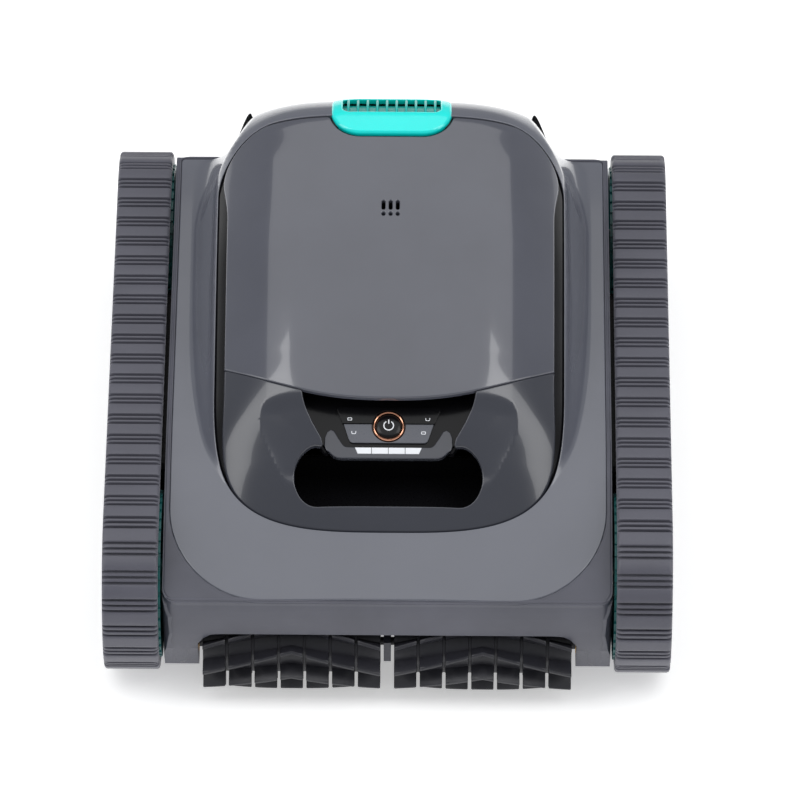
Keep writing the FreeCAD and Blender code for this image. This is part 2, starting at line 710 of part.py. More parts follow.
# ---------------------------------------------------------------- filter basket
basket_low = ("-basket_half_width", "basket_front", "basket_floor")
basket_high = ("basket_half_width", "basket_rear", "basket_rim")
inside_low = ("basket_wall - basket_half_width", "basket_front + basket_wall", "basket_floor + basket_wall")
inside_high = ("basket_half_width - basket_wall", "basket_rear - basket_wall", "basket_rim + 2")
side_windows = [box((-100.0, y, 92.0), (100.0, y + 36.0, 146.0)) for y in (-54.0, -10.0, 34.0)]
end_windows = [box((x, -70.0, 92.0), (x + 48.0, 90.0, 146.0)) for x in (-80.0, -24.0, 32.0)]
basket_flange = cut(box((-94.0, -64.0, 155.0), (94.0, 80.0, 158.0)), box((-91.0, -61.0, 150.0), (91.0, 77.0, 160.0)))
feet = [box((x - 6.0, y, "box_top"), (x + 6.0, y + 12.0, "basket_floor")) for x in (-70.0, 70.0) for y in (-8.0, 60.0)]
flap_ears = [box((x, -32.0, "basket_floor + 1"), (x + 2.8, -27.0, 86.0)) for x in (-61.0, 58.2)]
basket = fuse(cut(box(basket_low, basket_high), box(inside_low, inside_high), *side_windows, *end_windows),
              basket_flange, *feet)
basket = fuse(cut(basket, box((-58.0, -56.0, 70.0), (58.0, -30.0, 90.0))), *flap_ears)
keep("filter_basket", cut(
    basket,
    rod((-62.0, -29.6, 83.8), 0.9, 124.0),
    rod((-100.0, 8.0, 151.0), 2.05, 200.0),
))
keep("filter_mesh", cut(
    box(inside_low, ("basket_half_width - basket_wall", "basket_rear - basket_wall", 149.0)),
    box(("basket_wall - basket_half_width + 0.8", "basket_front + basket_wall + 0.8", "basket_floor"),
        ("basket_half_width - basket_wall - 0.8", "basket_rear - basket_wall - 0.8", 160.0)),
))
arms = [rod((x, -37.5, 151.0), 2.5, 45.5, ALONG_Y) for x in (-84.0, 84.0)]
bail_bar = rod((-86.0, -36.0, 151.0), 2.2, 172.0)
bail_pins = [rod((-91.8, 8.0, 151.0), 2.0, 9.0), rod((82.8, 8.0, 151.0), 2.0, 9.0)]
bail_balls = [rod((x - 2.5, 8.0, 151.0), 3.4, 5.0) for x in (-84.0, 84.0)]
keep("basket_handle", fuse(*arms, bail_bar, *bail_pins, *bail_balls, box((-30, -39, 149), (30, -33, 153))))
keep("inlet_flap", fuse(
    box((-57.0, -55.0, 82.3), (57.0, -29.6, 83.8)),
    rod((-57.0, -29.6, 83.8), 1.4, 114.0),
    rod((-60.6, -29.6, 83.8), 0.85, 121.2),
))

# ---------------------------------------------------------------- motor box, battery, board and intake
keep("motor_box", cut(
    box(("-box_half_width", "box_front", "box_floor"), ("box_half_width", "box_rear", 66.0)),
    box(("3 - box_half_width", "box_front + 3", "box_floor + 3"), ("box_half_width - 3", "box_rear - 3", 70.0)),
))
keep("box_seal", cut(
    box(("-box_half_width", "box_front", 66.0), ("box_half_width", "box_rear", 68.0)),
    box(("3 - box_half_width", "box_front + 3", 60.0), ("box_half_width - 3", "box_rear - 3", 70.0)),
))
cover_ribs = [box((x, -10.0, 67.0), (x + 3.0, 95.0, 71.5)) for x in (-50.0, 0.0, 50.0)]
keep("motor_box_cover", cut(
    box(("-box_half_width", "box_front", 68.0), ("box_half_width", "box_rear", "box_top")),
    cut(box((-74.0, -14.0, 60.0), (74.0, 99.0, 71.0)), *cover_ribs),
))
cells = [rod((-66.0 + 19.2 * column, -14.0, 33.3 + 18.8 * layer), 9.2, 65.0, ALONG_Y)
         for column in range(4) for layer in range(2)]
holders = [cut(box((-76.0, y, 24.0), (2.0, y + 4.0, 62.0)), *[rod((-66.0 + 19.2 * column, y - 1.0, 33.3 + 18.8 * layer),
           9.2, 6.0, ALONG_Y) for column in range(4) for layer in range(2)]) for y in (-8.0, 40.0)]
keep("battery_pack", group(*cells, *holders))
standoffs = [rod((x, y, 24.0), 3.0, 10.0, UPRIGHT) for x in (18.0, 68.0) for y in (-6.0, 72.0)]
chips = [box((x, y, 35.6), (x + 12.0, y + 12.0, 39.6)) for x in (24.0, 48.0) for y in (4.0, 34.0, 56.0)]
keep("control_board", fuse(box((12.0, -12.0, 34.0), (74.0, 78.0, 35.6)), *standoffs, *chips))


def slanted(margin, low, high):
    """Side outline of the intake duct, which leans back as it rises from the floor to the basket."""
    lean = 40.0 / (dim.basket_floor - dim.hull_floor)
    edges = [(-100.0 - margin, low), (-70.0 + margin, low), (-70.0 + margin, high), (-100.0 - margin, high)]
    return [(y + lean * (z - dim.hull_floor), z) for y, z in edges]


keep("intake_duct", cut(
    across(slanted(2.5, 21.0, 79.6), -62.5, 62.5),
    across(slanted(0.0, 15.0, 90.0), -60.0, 60.0),
))

# ---------------------------------------------------------------- pump
TILT = Rotation(Vector(1, 0, 0), -dim.pump_tilt)


def on_pump_axis(shape, along):
    """Places a shape drawn around +Z on the pump's tilted axis."""
    angle = math.radians(dim.pump_tilt)
    at = (0.0, dim.pump_y + along * math.sin(angle), dim.pump_z + along * math.cos(angle))
    return place(shape, at, TILT)


strut = ((19.0, -1.5, 0.0), (28.8, 1.5, 8.0))
spider = [on_pump_axis(place(box(*strut), (0, 0, 0), Rotation(Vector(0, 0, 1), turn)), -7.0) for turn in (30, 150, 270)]
sleeve = on_pump_axis(rod((0, 0, 0), 20.5, 60.0, UPRIGHT), -58.0)
foot = box((-12.0, 84.0, "box_top"), (12.0, "box_rear", 94.0))
duct = cut(on_pump_axis(rod((0, 0, 0), "duct_radius", 84.0, UPRIGHT), -10.0),
           on_pump_axis(rod((0, 0, 0), "duct_bore", 130.0, UPRIGHT), -14.0))
keep("pump_duct", cut(fuse(duct, *spider, sleeve, foot),
                      on_pump_axis(rod((0, 0, 0), "motor_radius", 90.0, UPRIGHT), -75.0)))
keep("pump_motor", on_pump_axis(rod((0, 0, 0), "motor_radius", 55.0, UPRIGHT), -60.0))
blades = [place(box((0, 0, 0), (22.0, 1.8, 16.0)), (0.0, 0.0, 4.0), Rotation(Vector(0, 0, 1), 60 * k)) for k in range(6)]
blades = common(fuse(*blades), rod((0.0, 0.0, 0.0), "impeller_radius", 30.0, UPRIGHT))
impeller = fuse(blades, rod((0, 0, 4.0), 8.0, 18.0, UPRIGHT), rod((0, 0, -4.8), 2.5, 10.0, UPRIGHT))
keep("impeller", on_pump_axis(impeller, 0.0))

# ---------------------------------------------------------------- tracks
def belt():
    """A rubber belt: outside one broad lug and two thin ribs in each period, inside one tooth for each pocket."""
    length = 2 * dim.wheel_base + 2 * math.pi * dim.neutral_radius
    period = length / dim.tread_count
    tread, floor = dim.tread_radius, dim.tread_radius - dim.groove_depth
    outer = []
    for k in range(int(dim.tread_count)):
        lug = dim.tread_phase + period * k
        outer.append(belt_point(lug, tread))
        for groove in (-1, 0, 1):
            middle = lug + period / 2 + groove * dim.groove_spacing
            half = dim.groove_width / 2
            for shift, radius in ((-half, tread), (0.2 - half, floor), (half - 0.2, floor), (half, tread)):
                outer.append(belt_point(middle + shift, radius))
    pitch = math.pi * 2 * dim.neutral_radius / dim.wheel_teeth
    carcass, tip = dim.carcass_inner, dim.carcass_inner - dim.belt_tooth_height
    inner = []
    for k in range(round(length / pitch)):
        half = dim.belt_tooth_width / 2
        for shift, radius in ((-half, carcass), (0.5 - half, tip), (half - 0.5, tip), (half, carcass)):
            inner.append(belt_point(pitch * k + shift, radius))
    solid = face_of(outer, inner).extrude(Vector(dim.belt_width, 0, 0))
    solid.translate(Vector(dim.track_width / 2 - dim.belt_width, 0, 0))
    return formed(solid)


keep_pair("track_belt", belt())


def toothed_disc(y, outer, depth, wide, start, width, bore):
    """A disc with a pocket for each belt tooth."""
    points = []
    for k in range(int(dim.wheel_teeth)):
        middle = 2 * math.pi * k / dim.wheel_teeth
        half = wide / 2 / outer
        for shift, radius in ((-half, outer), (-half * 0.8, outer - depth), (half * 0.8, outer - depth), (half, outer)):
            a = middle + shift
            points.append((y + radius * math.sin(a), dim.tread_radius - radius * math.cos(a)))
    hole = arc((y, dim.tread_radius), bore, 0, 360, 60)[:-1]
    solid = face_of(points, hole).extrude(Vector(width, 0, 0))
    solid.translate(Vector(start, 0, 0))
    return formed(solid)


def wheel(y):
    """Track wheel: toothed rim, toothed inner flange, web with round holes, hub with a blind bore."""
    holes = []
    for k in range(5):
        a = math.radians(90 + 72 * k)
        holes.append(rod((170.0, y + 36.0 * math.cos(a), dim.tread_radius + 36.0 * math.sin(a)), 11.0, 20.0))
    web = cut(rod((178.0, y, "tread_radius"), "rim_bore + 1", 4.0), *holes)
    return cut(
        fuse(
            toothed_disc(y, dim.rim_radius, dim.pocket_depth, dim.pocket_width, 165.0, 29.0, dim.rim_bore),
            toothed_disc(y, dim.rim_radius - 0.6, 1.8, 3.6, 163.4, 1.6, dim.rim_bore),
            web,
            rod((163.4, y, "tread_radius"), "hub_radius", 36.6),
        ),
        rod((160.0, y, "tread_radius"), "axle_radius", 38.0),
    )


def axle(y, teeth, phase):
    """Steel axle with the gear that drives it or that it drives."""
    return fuse(rod((141.0, y, "tread_radius"), "axle_radius", 57.0), gear(teeth, phase, (y, dim.tread_radius), 6.0))


def bearing_to(start, end):
    return math.degrees(math.atan2(end[1] - start[1], end[0] - start[0]))


front_at, rear_at = [(y, dim.tread_radius) for y in AXLES]
brush_at = (dim.brush_y, dim.brush_z)
motor_at = (dim.motor_y, dim.tread_radius)
pinion_phase = gear_phase(dim.rear_teeth, 0.0, dim.idler_teeth, bearing_to(rear_at, motor_at))
idler_phase = gear_phase(dim.front_teeth, 0.0, dim.idler_teeth, bearing_to(front_at, IDLER))
brush_phase = gear_phase(dim.idler_teeth, idler_phase, dim.idler_teeth, bearing_to(IDLER, brush_at))

keep_pair("rear_wheel", wheel(AXLES[1]))
keep_pair("front_wheel", wheel(AXLES[0]))
keep_pair("rear_axle", axle(AXLES[1], dim.rear_teeth, 0.0))
keep_pair("front_axle", axle(AXLES[0], dim.front_teeth, 0.0))
keep_pair("brush_idler_gear", gear(dim.idler_teeth, idler_phase, IDLER, 3.0 + dim.running_gap))
keep_pair("motor_pinion", fuse(gear(dim.idler_teeth, pinion_phase, motor_at, 2.0),
                               rod((138.4, "motor_y", "tread_radius"), 3.0, 12.0)))
keep_pair("drive_motor", rod((81.0, "motor_y", "tread_radius"), "motor_radius", 57.0))

window = rounded((-48.0, 46.0), (48.0, 94.0), 10.0)
beam_posts = [rod((165.0, y, 70.0), 6.0, 33.0) for y in (-74.0, 74.0)]
keep_pair("track_beam", fuse(
    cut(across(rounded((-90.0, 16.0), (90.0, 106.0), 14.0), 162.0, 168.0), across(window, 160.0, 170.0)),
    *beam_posts,
    rod((165.0, 0.0, "roller_z"), 4.0, 31.0),
))
keep_pair("track_roller", tube((170.0, 0.0, "roller_z"), "roller_radius", "4 + running_gap", 22.0))
cover_outline = arc((AXLES[0], dim.tread_radius), 50.0, 90, 270, 24) + arc((AXLES[1], dim.tread_radius), 50.0, 270, 450, 24)
hub_holes = [rod((190.0, y, "tread_radius"), "hub_radius + 1.5", 20.0) for y in AXLES]
keep_pair("side_cover", cut(across(cover_outline, 198.0, 201.5), across(window, 190.0, 210.0), *hub_holes))

# ---------------------------------------------------------------- brushes
def brush_blades():
    """Rubber sleeve with seven rings of ten blades, each ring turned a little from the next."""
    count, blades = 7, 10
    length = dim.brush_outer_end - dim.brush_inner_end
    pitch = (length + 2.5) / count
    solids = []
    for segment in range(count):
        turn = math.radians(9.0 * abs(segment - (count - 1) / 2))
        points = []
        for k in range(blades):
            a = turn + 2 * math.pi * k / blades
            for shift, radius in ((-0.10, 24.0), (-0.035, dim.brush_radius), (0.035, dim.brush_radius), (0.10, 24.0)):
                points.append((dim.brush_y + radius * math.cos(a + shift), dim.brush_z + radius * math.sin(a + shift)))
        hole = arc(brush_at, dim.brush_core_radius, 0, 360, 40)[:-1]
        solid = face_of(points, hole).extrude(Vector(pitch - 2.5, 0, 0))
        solid.translate(Vector(dim.brush_inner_end + pitch * segment, 0, 0))
        solids.append(solid)
    ring_outline = arc(brush_at, 23.4, 0, 360, 40)[:-1]
    sleeve_solid = face_of(ring_outline, arc(brush_at, dim.brush_core_radius, 0, 360, 40)[:-1])
    sleeve_solid = sleeve_solid.extrude(Vector(length, 0, 0))
    sleeve_solid.translate(Vector(dim.brush_inner_end, 0, 0))
    return formed(sleeve_solid.fuse(solids).removeSplitter())


keep_pair("brush_blades", brush_blades())
core_radius = dim.brush_core_radius * math.cos(math.pi / 40)
keep_pair("brush_core", fuse(
    rod(("brush_inner_end", "brush_y", "brush_z"), core_radius, "brush_outer_end - brush_inner_end"),
    rod(("brush_outer_end - 1", "brush_y", "brush_z"), "shaft_radius", "158 - brush_outer_end"),
    rod((0.2, "brush_y", "brush_z"), 3.0, 6.0),
    gear(dim.idler_teeth, brush_phase, brush_at, 4.0),
))

# ---------------------------------------------------------------- checks and files
doc.recompute()
failed = [obj.Label for obj in doc.Objects if "Invalid" in obj.State or "Error" in obj.State]
failed += [obj.Label for obj in parts if obj.Shape.isNull() or not obj.Shape.isValid() or not obj.Shape.Solids]
if failed:
    raise RuntimeError("these objects failed: " + ", ".join(failed))
os.makedirs("parts", exist_ok=True)
for obj in parts:
    obj.Shape.exportStep("parts/" + obj.Label + ".step")
print(len(parts), "parts written")
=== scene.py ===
import json
import math

import bpy
import numpy as np
from mathutils import Matrix, Vector
from mathutils.geometry import delaunay_2d_cdt


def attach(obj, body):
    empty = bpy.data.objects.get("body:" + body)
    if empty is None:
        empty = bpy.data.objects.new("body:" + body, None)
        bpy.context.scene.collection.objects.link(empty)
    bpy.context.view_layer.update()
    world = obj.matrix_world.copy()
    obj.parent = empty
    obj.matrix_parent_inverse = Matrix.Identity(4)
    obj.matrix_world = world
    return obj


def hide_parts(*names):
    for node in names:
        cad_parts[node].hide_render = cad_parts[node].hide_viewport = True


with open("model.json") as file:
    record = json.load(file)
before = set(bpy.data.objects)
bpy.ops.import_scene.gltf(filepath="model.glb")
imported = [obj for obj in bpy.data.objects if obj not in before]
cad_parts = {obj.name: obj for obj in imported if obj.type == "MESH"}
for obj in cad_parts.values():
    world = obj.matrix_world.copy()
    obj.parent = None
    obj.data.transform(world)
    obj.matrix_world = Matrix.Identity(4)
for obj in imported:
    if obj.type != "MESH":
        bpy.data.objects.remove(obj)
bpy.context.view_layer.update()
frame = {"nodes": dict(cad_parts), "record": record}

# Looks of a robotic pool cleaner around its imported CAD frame. Formulas work in millimetres, in the frame's
# own axes, and meshes are scaled to metres. +X is the cleaner's own left, -Y its front and +Z up.

MM = 0.001


# ---------------------------------------------------------------- shared shape formulas
DECK_HEIGHT, HOOD_START, HOOD_DROP, HOOD_LENGTH = 132.0, -60.0, 31.0, 151.0
SHELL_HALF, SHELL_FRONT, SHELL_REAR, SHELL_CORNER = 158.0, -211.0, 191.4, 68.0
ISLAND_HALF, ISLAND_MIDDLE, ISLAND_LENGTH, ISLAND_REAR = 127.2, -48.2, 113.0, 139.2
ISLAND_SQUARENESS, ISLAND_CORNER = 3.4, 43.0
HINGE_Y, HINGE_Z, HINGE_RADIUS = 134.5, 231.0, 4.2
LID_WALL = 3.2
POD_TIP_Y, POD_TIP_Z, POD_SLOPE, BUTTON_UP = -118.6, 152.0, math.radians(18.0), 23.7
SPINE = [(-175.0, 102.0), (-160.3, 118.0), (-146.6, 132.0), (-118.0, 159.0), (-87.8, 182.0), (-50.0, 198.0),
         (0.0, 215.0), (50.0, 229.0), (100.0, 236.0), (134.0, 238.0)]


def smooth_step(value):
    value = min(max(value, 0.0), 1.0)
    return value * value * (3 - 2 * value)


def spine(y):
    """Height of the dome's centre line: a smooth curve through its points, then a rounded tail."""
    if y > SPINE[-1][0]:
        back = min((y - SPINE[-1][0]) / 68.0, 1.0)
        return SPINE[-1][1] - 120.0 * (1 - math.sqrt(1 - back * back))
    y = max(y, SPINE[0][0])
    i = max(k for k in range(len(SPINE) - 1) if k == 0 or SPINE[k][0] <= y)
    slopes = []
    for k in (i, i + 1):
        (a, low), (b, high) = SPINE[max(k - 1, 0)], SPINE[min(k + 1, len(SPINE) - 1)]
        slopes.append((high - low) / (b - a))
    (start, low), (end, high) = SPINE[i], SPINE[i + 1]
    span = end - start
    u = (y - start) / span
    return (low * (2 * u ** 3 - 3 * u ** 2 + 1) + slopes[0] * span * (u ** 3 - 2 * u ** 2 + u)
            + high * (3 * u ** 2 - 2 * u ** 3) + slopes[1] * span * (u ** 3 - u ** 2))


def deck(x, y):
    return DECK_HEIGHT - HOOD_DROP * (max(HOOD_START - y, 0.0) / HOOD_LENGTH) ** 1.9


def dome(x, y):
    return spine(y) - 42.0 * (abs(x) / 128.0) ** 4


def shell(x, y):
    base = deck(x, y)
    rise = dome(x, y) - base
    rise = 0.5 * (rise + math.sqrt(rise * rise + 9.0))
    inner = 126.0 - 26.0 * smooth_step((y - 114.0) / 50.0)
    return base + rise * (1 - smooth_step((abs(x) - inner) / (149.0 - inner)))


def seam(x):
    """Where the lid meets the handle cover, as y."""
    return -88.0 + 37.6 * (min(abs(x), 128.0) / 118.0) ** 2.7


# ---------------------------------------------------------------- outlines
def arc(centre, radius, start, end, steps):
    turns = [math.radians(start + (end - start) * i / steps) for i in range(steps + 1)]
    return [(centre[0] + radius * math.cos(a), centre[1] + radius * math.sin(a)) for a in turns]


def rounded(low, high, radius, steps=10):
    (x0, y0), (x1, y1) = low, high
    corners = [((x1 - radius, y1 - radius), 0), ((x0 + radius, y1 - radius), 90),
               ((x0 + radius, y0 + radius), 180), ((x1 - radius, y0 + radius), 270)]
    return [p for centre, start in corners for p in arc(centre, radius, start, start + 90, steps)]


def mirrored(right):
    """A symmetric outline from its right half, given from bottom to top."""
    return right + [(-x, y) for x, y in reversed(right)]


def curve(points, steps):
    """A smooth open curve through points, as short runs."""
    out = []
    for k in range(len(points) - 1):
        a, b = Vector(points[k]), Vector(points[k + 1])
        before, after = Vector(points[max(k - 1, 0)]), Vector(points[min(k + 2, len(points) - 1)])
        for i in range(steps):
            t = i / steps
            start, end = (b - before) / 2, (after - a) / 2
            p = a * (2 * t ** 3 - 3 * t * t + 1) + start * (t ** 3 - 2 * t * t + t)
            p += b * (3 * t * t - 2 * t ** 3) + end * (t ** 3 - t * t)
            out.append((p.x, p.y))
    return out + [tuple(points[-1])]


def spaced(loop, step):
    """The same closed outline with no edge longer than the step."""
    out = []
    for (ax, ay), (bx, by) in zip(loop, loop[1:] + loop[:1]):
        count = max(1, math.ceil(math.hypot(bx - ax, by - ay) / step))
        out += [(ax + (bx - ax) * i / count, ay + (by - ay) * i / count) for i in range(count)]
    return [p for i, p in enumerate(out) if math.dist(p, out[i - 1]) > 1e-4]


def area(loop):
    return 0.5 * sum(a[0] * b[1] - b[0] * a[1] for a, b in zip(loop, loop[1:] + loop[:1]))


def inward(loop):
    """For each point of an anticlockwise outline, the direction to its inside, longer at corners."""
    out = []
    for i, p in enumerate(loop):
        before, after = Vector(p) - Vector(loop[i - 1]), Vector(loop[(i + 1) % len(loop)]) - Vector(p)
        before.normalize()
        after.normalize()
        normal = Vector((-before.y - after.y, before.x + after.x))
        normal.normalize()
        out.append(normal / max(normal.dot(Vector((-after.y, after.x))), 0.6))
    return out


def moved_in(loop, distance):
    """The outline moved inwards by a number, or by a formula of the point."""
    how_far = distance if callable(distance) else lambda x, y: distance
    return [(x + n.x * how_far(x, y), y + n.y * how_far(x, y)) for (x, y), n in zip(loop, inward(loop))]


def island(steps=44):
    """Outline of the lid and the handle cover together, anticlockwise from the left side."""
    front = []
    for i in range(1, 2 * steps):
        a = math.pi * i / (2 * steps)
        across = math.copysign(abs(math.cos(a)) ** (2 / ISLAND_SQUARENESS), math.cos(a))
        reach = ISLAND_LENGTH * math.sin(a) ** (2 / ISLAND_SQUARENESS)
        front.append((-ISLAND_HALF * across, ISLAND_MIDDLE - reach))
    rear, corner = ISLAND_REAR, ISLAND_CORNER
    right = arc((ISLAND_HALF - corner, rear - corner), corner, 0, 90, 16)
    left = arc((corner - ISLAND_HALF, rear - corner), corner, 90, 180, 16)
    return spaced(front + right + left, 3.0)


def island_gap(x, y):
    """How far the visible lid and cover stay inside the island: a slim gap that widens along the sides."""
    if abs(x) < 90 and y < 0:
        return 0.8
    return 0.8 + 6.4 * smooth_step((128.0 - y) / 60.0) * smooth_step((y + 138.0) / 75.0)


def shell_plan(grow=0.0):
    half, corner = SHELL_HALF + grow, SHELL_CORNER + grow
    front = SHELL_FRONT - grow
    right = arc((half - corner, front + corner), corner, 270, 360, 24)
    return mirrored([(0.0, front)] + right + arc((half - 3.0, SHELL_REAR - 3.0), 3.0, 0, 90, 4))


cap_outline = rounded((-44.6, 121.3), (44.6, 178.0), 22.0)
cap_opening = rounded((-36.0, 141.0), (36.0, 170.0), 6.0)


# ---------------------------------------------------------------- mesh building
def make(name, vertices, faces, normals=None, smooth=35.0, matrix=None):
    """A mesh object from millimetres, with given corner normals or with edges sharper than an angle kept."""
    mesh = bpy.data.meshes.new(name)
    mesh.from_pydata([Vector(v) * MM for v in vertices], [], faces)
    if matrix is not None:
        mesh.transform(matrix)
    mesh.update()
    for polygon in mesh.polygons:
        polygon.use_smooth = True
    if normals is not None:
        turned = matrix.to_3x3() if matrix is not None else Matrix.Identity(3)
        mesh.normals_split_custom_set([(turned @ Vector(n)).normalized() for n in normals])
    elif smooth < 180:
        mesh.set_sharp_from_angle(angle=math.radians(smooth))
    obj = bpy.data.objects.new(name, mesh)
    bpy.context.scene.collection.objects.link(obj)
    return obj


def slope(height, x, y, reach=0.15):
    """The upward normal of a height formula."""
    along = (height(x + reach, y) - height(x - reach, y)) / (2 * reach)
    back = (height(x, y + reach) - height(x, y - reach)) / (2 * reach)
    return Vector((-along, -back, 1.0)).normalized()


def signed_inside(points, loops):
    """Whether each point is inside the first loop and outside the rest, and its distance to them."""
    points = np.array(points, float)
    inside = np.zeros(len(points), bool)
    nearest = np.full(len(points), 1e9)
    for loop in loops:
        a = np.array(loop, float)
        b = np.roll(a, -1, axis=0)
        for (ax, ay), (bx, by) in zip(a, b):
            crosses = (ay > points[:, 1]) != (by > points[:, 1])
            if ay != by:
                at = ax + (points[:, 1] - ay) / (by - ay) * (bx - ax)
                inside ^= crosses & (points[:, 0] < at)
            along = np.array((bx - ax, by - ay))
            t = np.clip(((points - (ax, ay)) @ along) / max(along @ along, 1e-9), 0, 1)
            nearest = np.minimum(nearest, np.hypot(*(points - (ax, ay) - t[:, None] * along).T))
    return inside, nearest


def plate(name, outline, top, bottom, holes=(), edge=(1.2, 1.2), step=3.0, xs=None, matrix=None, turns=5,
          creases=()):
    """A curved plate: a height formula over an outline with holes, rolled edges, walls and an underside."""
    loops = [outline if area(outline) > 0 else outline[::-1]]
    loops += [hole if area(hole) < 0 else hole[::-1] for hole in holes]
    loops = [spaced(loop, min(step, 2.5)) for loop in loops]
    width, depth = edge
    vertices, kinds, rings = [], [], []
    for loop in loops:
        directions = inward(loop)
        levels = []
        for turn in range(turns + 1):
            a = math.pi / 2 * turn / turns
            inset = width * (1 - math.cos(a))
            level = []
            for (x, y), n in zip(loop, directions):
                level.append(len(vertices))
                px, py = x + n.x * inset, y + n.y * inset
                vertices.append((px, py, top(px, py) - depth * (1 - math.sin(a))))
                kinds.append((a, -n.normalized()))
            levels.append(level)
        rings.append(levels)
    low, high = np.min(loops[0], axis=0), np.max(loops[0], axis=0)
    columns = xs or list(np.arange(low[0] + step / 2, high[0], step))
    grid = [(x, y) for x in columns for y in np.arange(low[1] + step / 2, high[1], step)]
    inner_loops = [[vertices[i][:2] for i in levels[-1]] for levels in rings]
    inside, nearest = signed_inside(grid, inner_loops)
    kept = [p for p, ok, far in zip(grid, inside, nearest) if ok and far > 0.45 * min(step, 2.5)]
    flat = [Vector(p) for loop in inner_loops for p in loop] + [Vector(p) for p in kept]
    ids = [i for levels in rings for i in levels[-1]]
    edges, start = [], 0
    for loop in inner_loops:
        edges += [(start + i, start + (i + 1) % len(loop)) for i in range(len(loop))]
        start += len(loop)
    for crease in creases:
        flat += [Vector(p) for p in crease]
        edges += [(len(flat) - len(crease) + i,
                   len(flat) - len(crease) + i + 1) for i in range(len(crease) - 1)]
    points, _, triangles, origins, _, _ = delaunay_2d_cdt(flat, edges, [], 0, 1e-5)
    known = {}
    for i, source in enumerate(origins):
        if source and source[0] < len(ids):
            known[i] = ids[source[0]]
        else:
            x, y = points[i]
            known[i] = len(vertices)
            vertices.append((x, y, top(x, y)))
            kinds.append((math.pi / 2, None))
    middles = [tuple(sum((points[i] for i in t), Vector((0, 0))) / 3) for t in triangles]
    inside, _ = signed_inside(middles, inner_loops)
    faces = []
    for triangle, ok in zip(triangles, inside):
        if ok:
            faces.append([known[i] for i in triangle])
    for levels in rings:
        for lower, upper in zip(levels, levels[1:]):
            for i in range(len(lower)):
                j = (i + 1) % len(lower)
                faces.append([lower[i], lower[j], upper[j], upper[i]])
    count, top_faces = len(vertices), len(faces)
    under = [(x, y, min(bottom(x, y), z - 0.05)) for x, y, z in vertices]
    faces += [[i + count for i in reversed(face)] for face in faces]
    for levels in rings:
        wall = levels[0]
        for i in range(len(wall)):
            j = (i + 1) % len(wall)
            faces.append([wall[j], wall[i], wall[i] + count, wall[j] + count])
    normals = []
    memory = {}
    for number, face in enumerate(faces):
        for i in face:
            is_under = top_faces <= number < 2 * top_faces
            key = (i, is_under)
            if key not in memory:
                x, y = vertices[i % count][:2]
                a, out = kinds[i % count]
                if is_under:
                    memory[key] = -slope(bottom, x, y)
                elif number >= 2 * top_faces or a == 0:
                    memory[key] = Vector((out.x, out.y, 0.0))
                else:
                    normal = slope(top, x, y)
                    if out is not None:
                        side = Vector((out.x, out.y, 0.0))
                        normal = (normal * math.sin(a) * width + side * math.cos(a) * depth).normalized()
                    memory[key] = normal
            normals.append(memory[key])
    return make(name, vertices + under, faces, normals, matrix=matrix)


def swept(name, stations, closed=True, capped=True, smooth=35.0):
    """A skin through cross sections that all have the same number of points."""
    count = len(stations[0])
    vertices = [p for section in stations for p in section]
    faces = []
    last = count if closed else count - 1
    for k in range(len(stations) - 1):
        for i in range(last):
            j = (i + 1) % count
            faces.append([k * count + i, k * count + j, (k + 1) * count + j, (k + 1) * count + i])
    if capped:
        faces.append(list(reversed(range(count))))
        faces.append([(len(stations) - 1) * count + i for i in range(count)])
    return make(name, vertices, faces, smooth=smooth)


def turned(name, profile, matrix, steps=72, smooth=35.0):
    """A closed ring from its (radius, height) cross section, turned about the local Z axis."""
    vertices, faces = [], []
    for k in range(steps):
        a = 2 * math.pi * k / steps
        vertices += [(r * math.cos(a), r * math.sin(a), z) for r, z in profile]
    count = len(profile)
    for k in range(steps):
        following = (k + 1) % steps
        for i in range(count - 1):
            faces.append([k * count + i, following * count + i, following * count + i + 1, k * count + i + 1])
    return make(name, vertices, faces, smooth=smooth, matrix=matrix)


def softened(obj, width, segments=2):
    """Rounds the sharp edges of a piece by a width in millimetres."""
    bevel = obj.modifiers.new("rounded edges", "BEVEL")
    bevel.width = width * MM
    bevel.segments = segments
    bevel.limit_method = "ANGLE"
    bevel.angle_limit = math.radians(40)
    bevel.harden_normals = True
    return obj


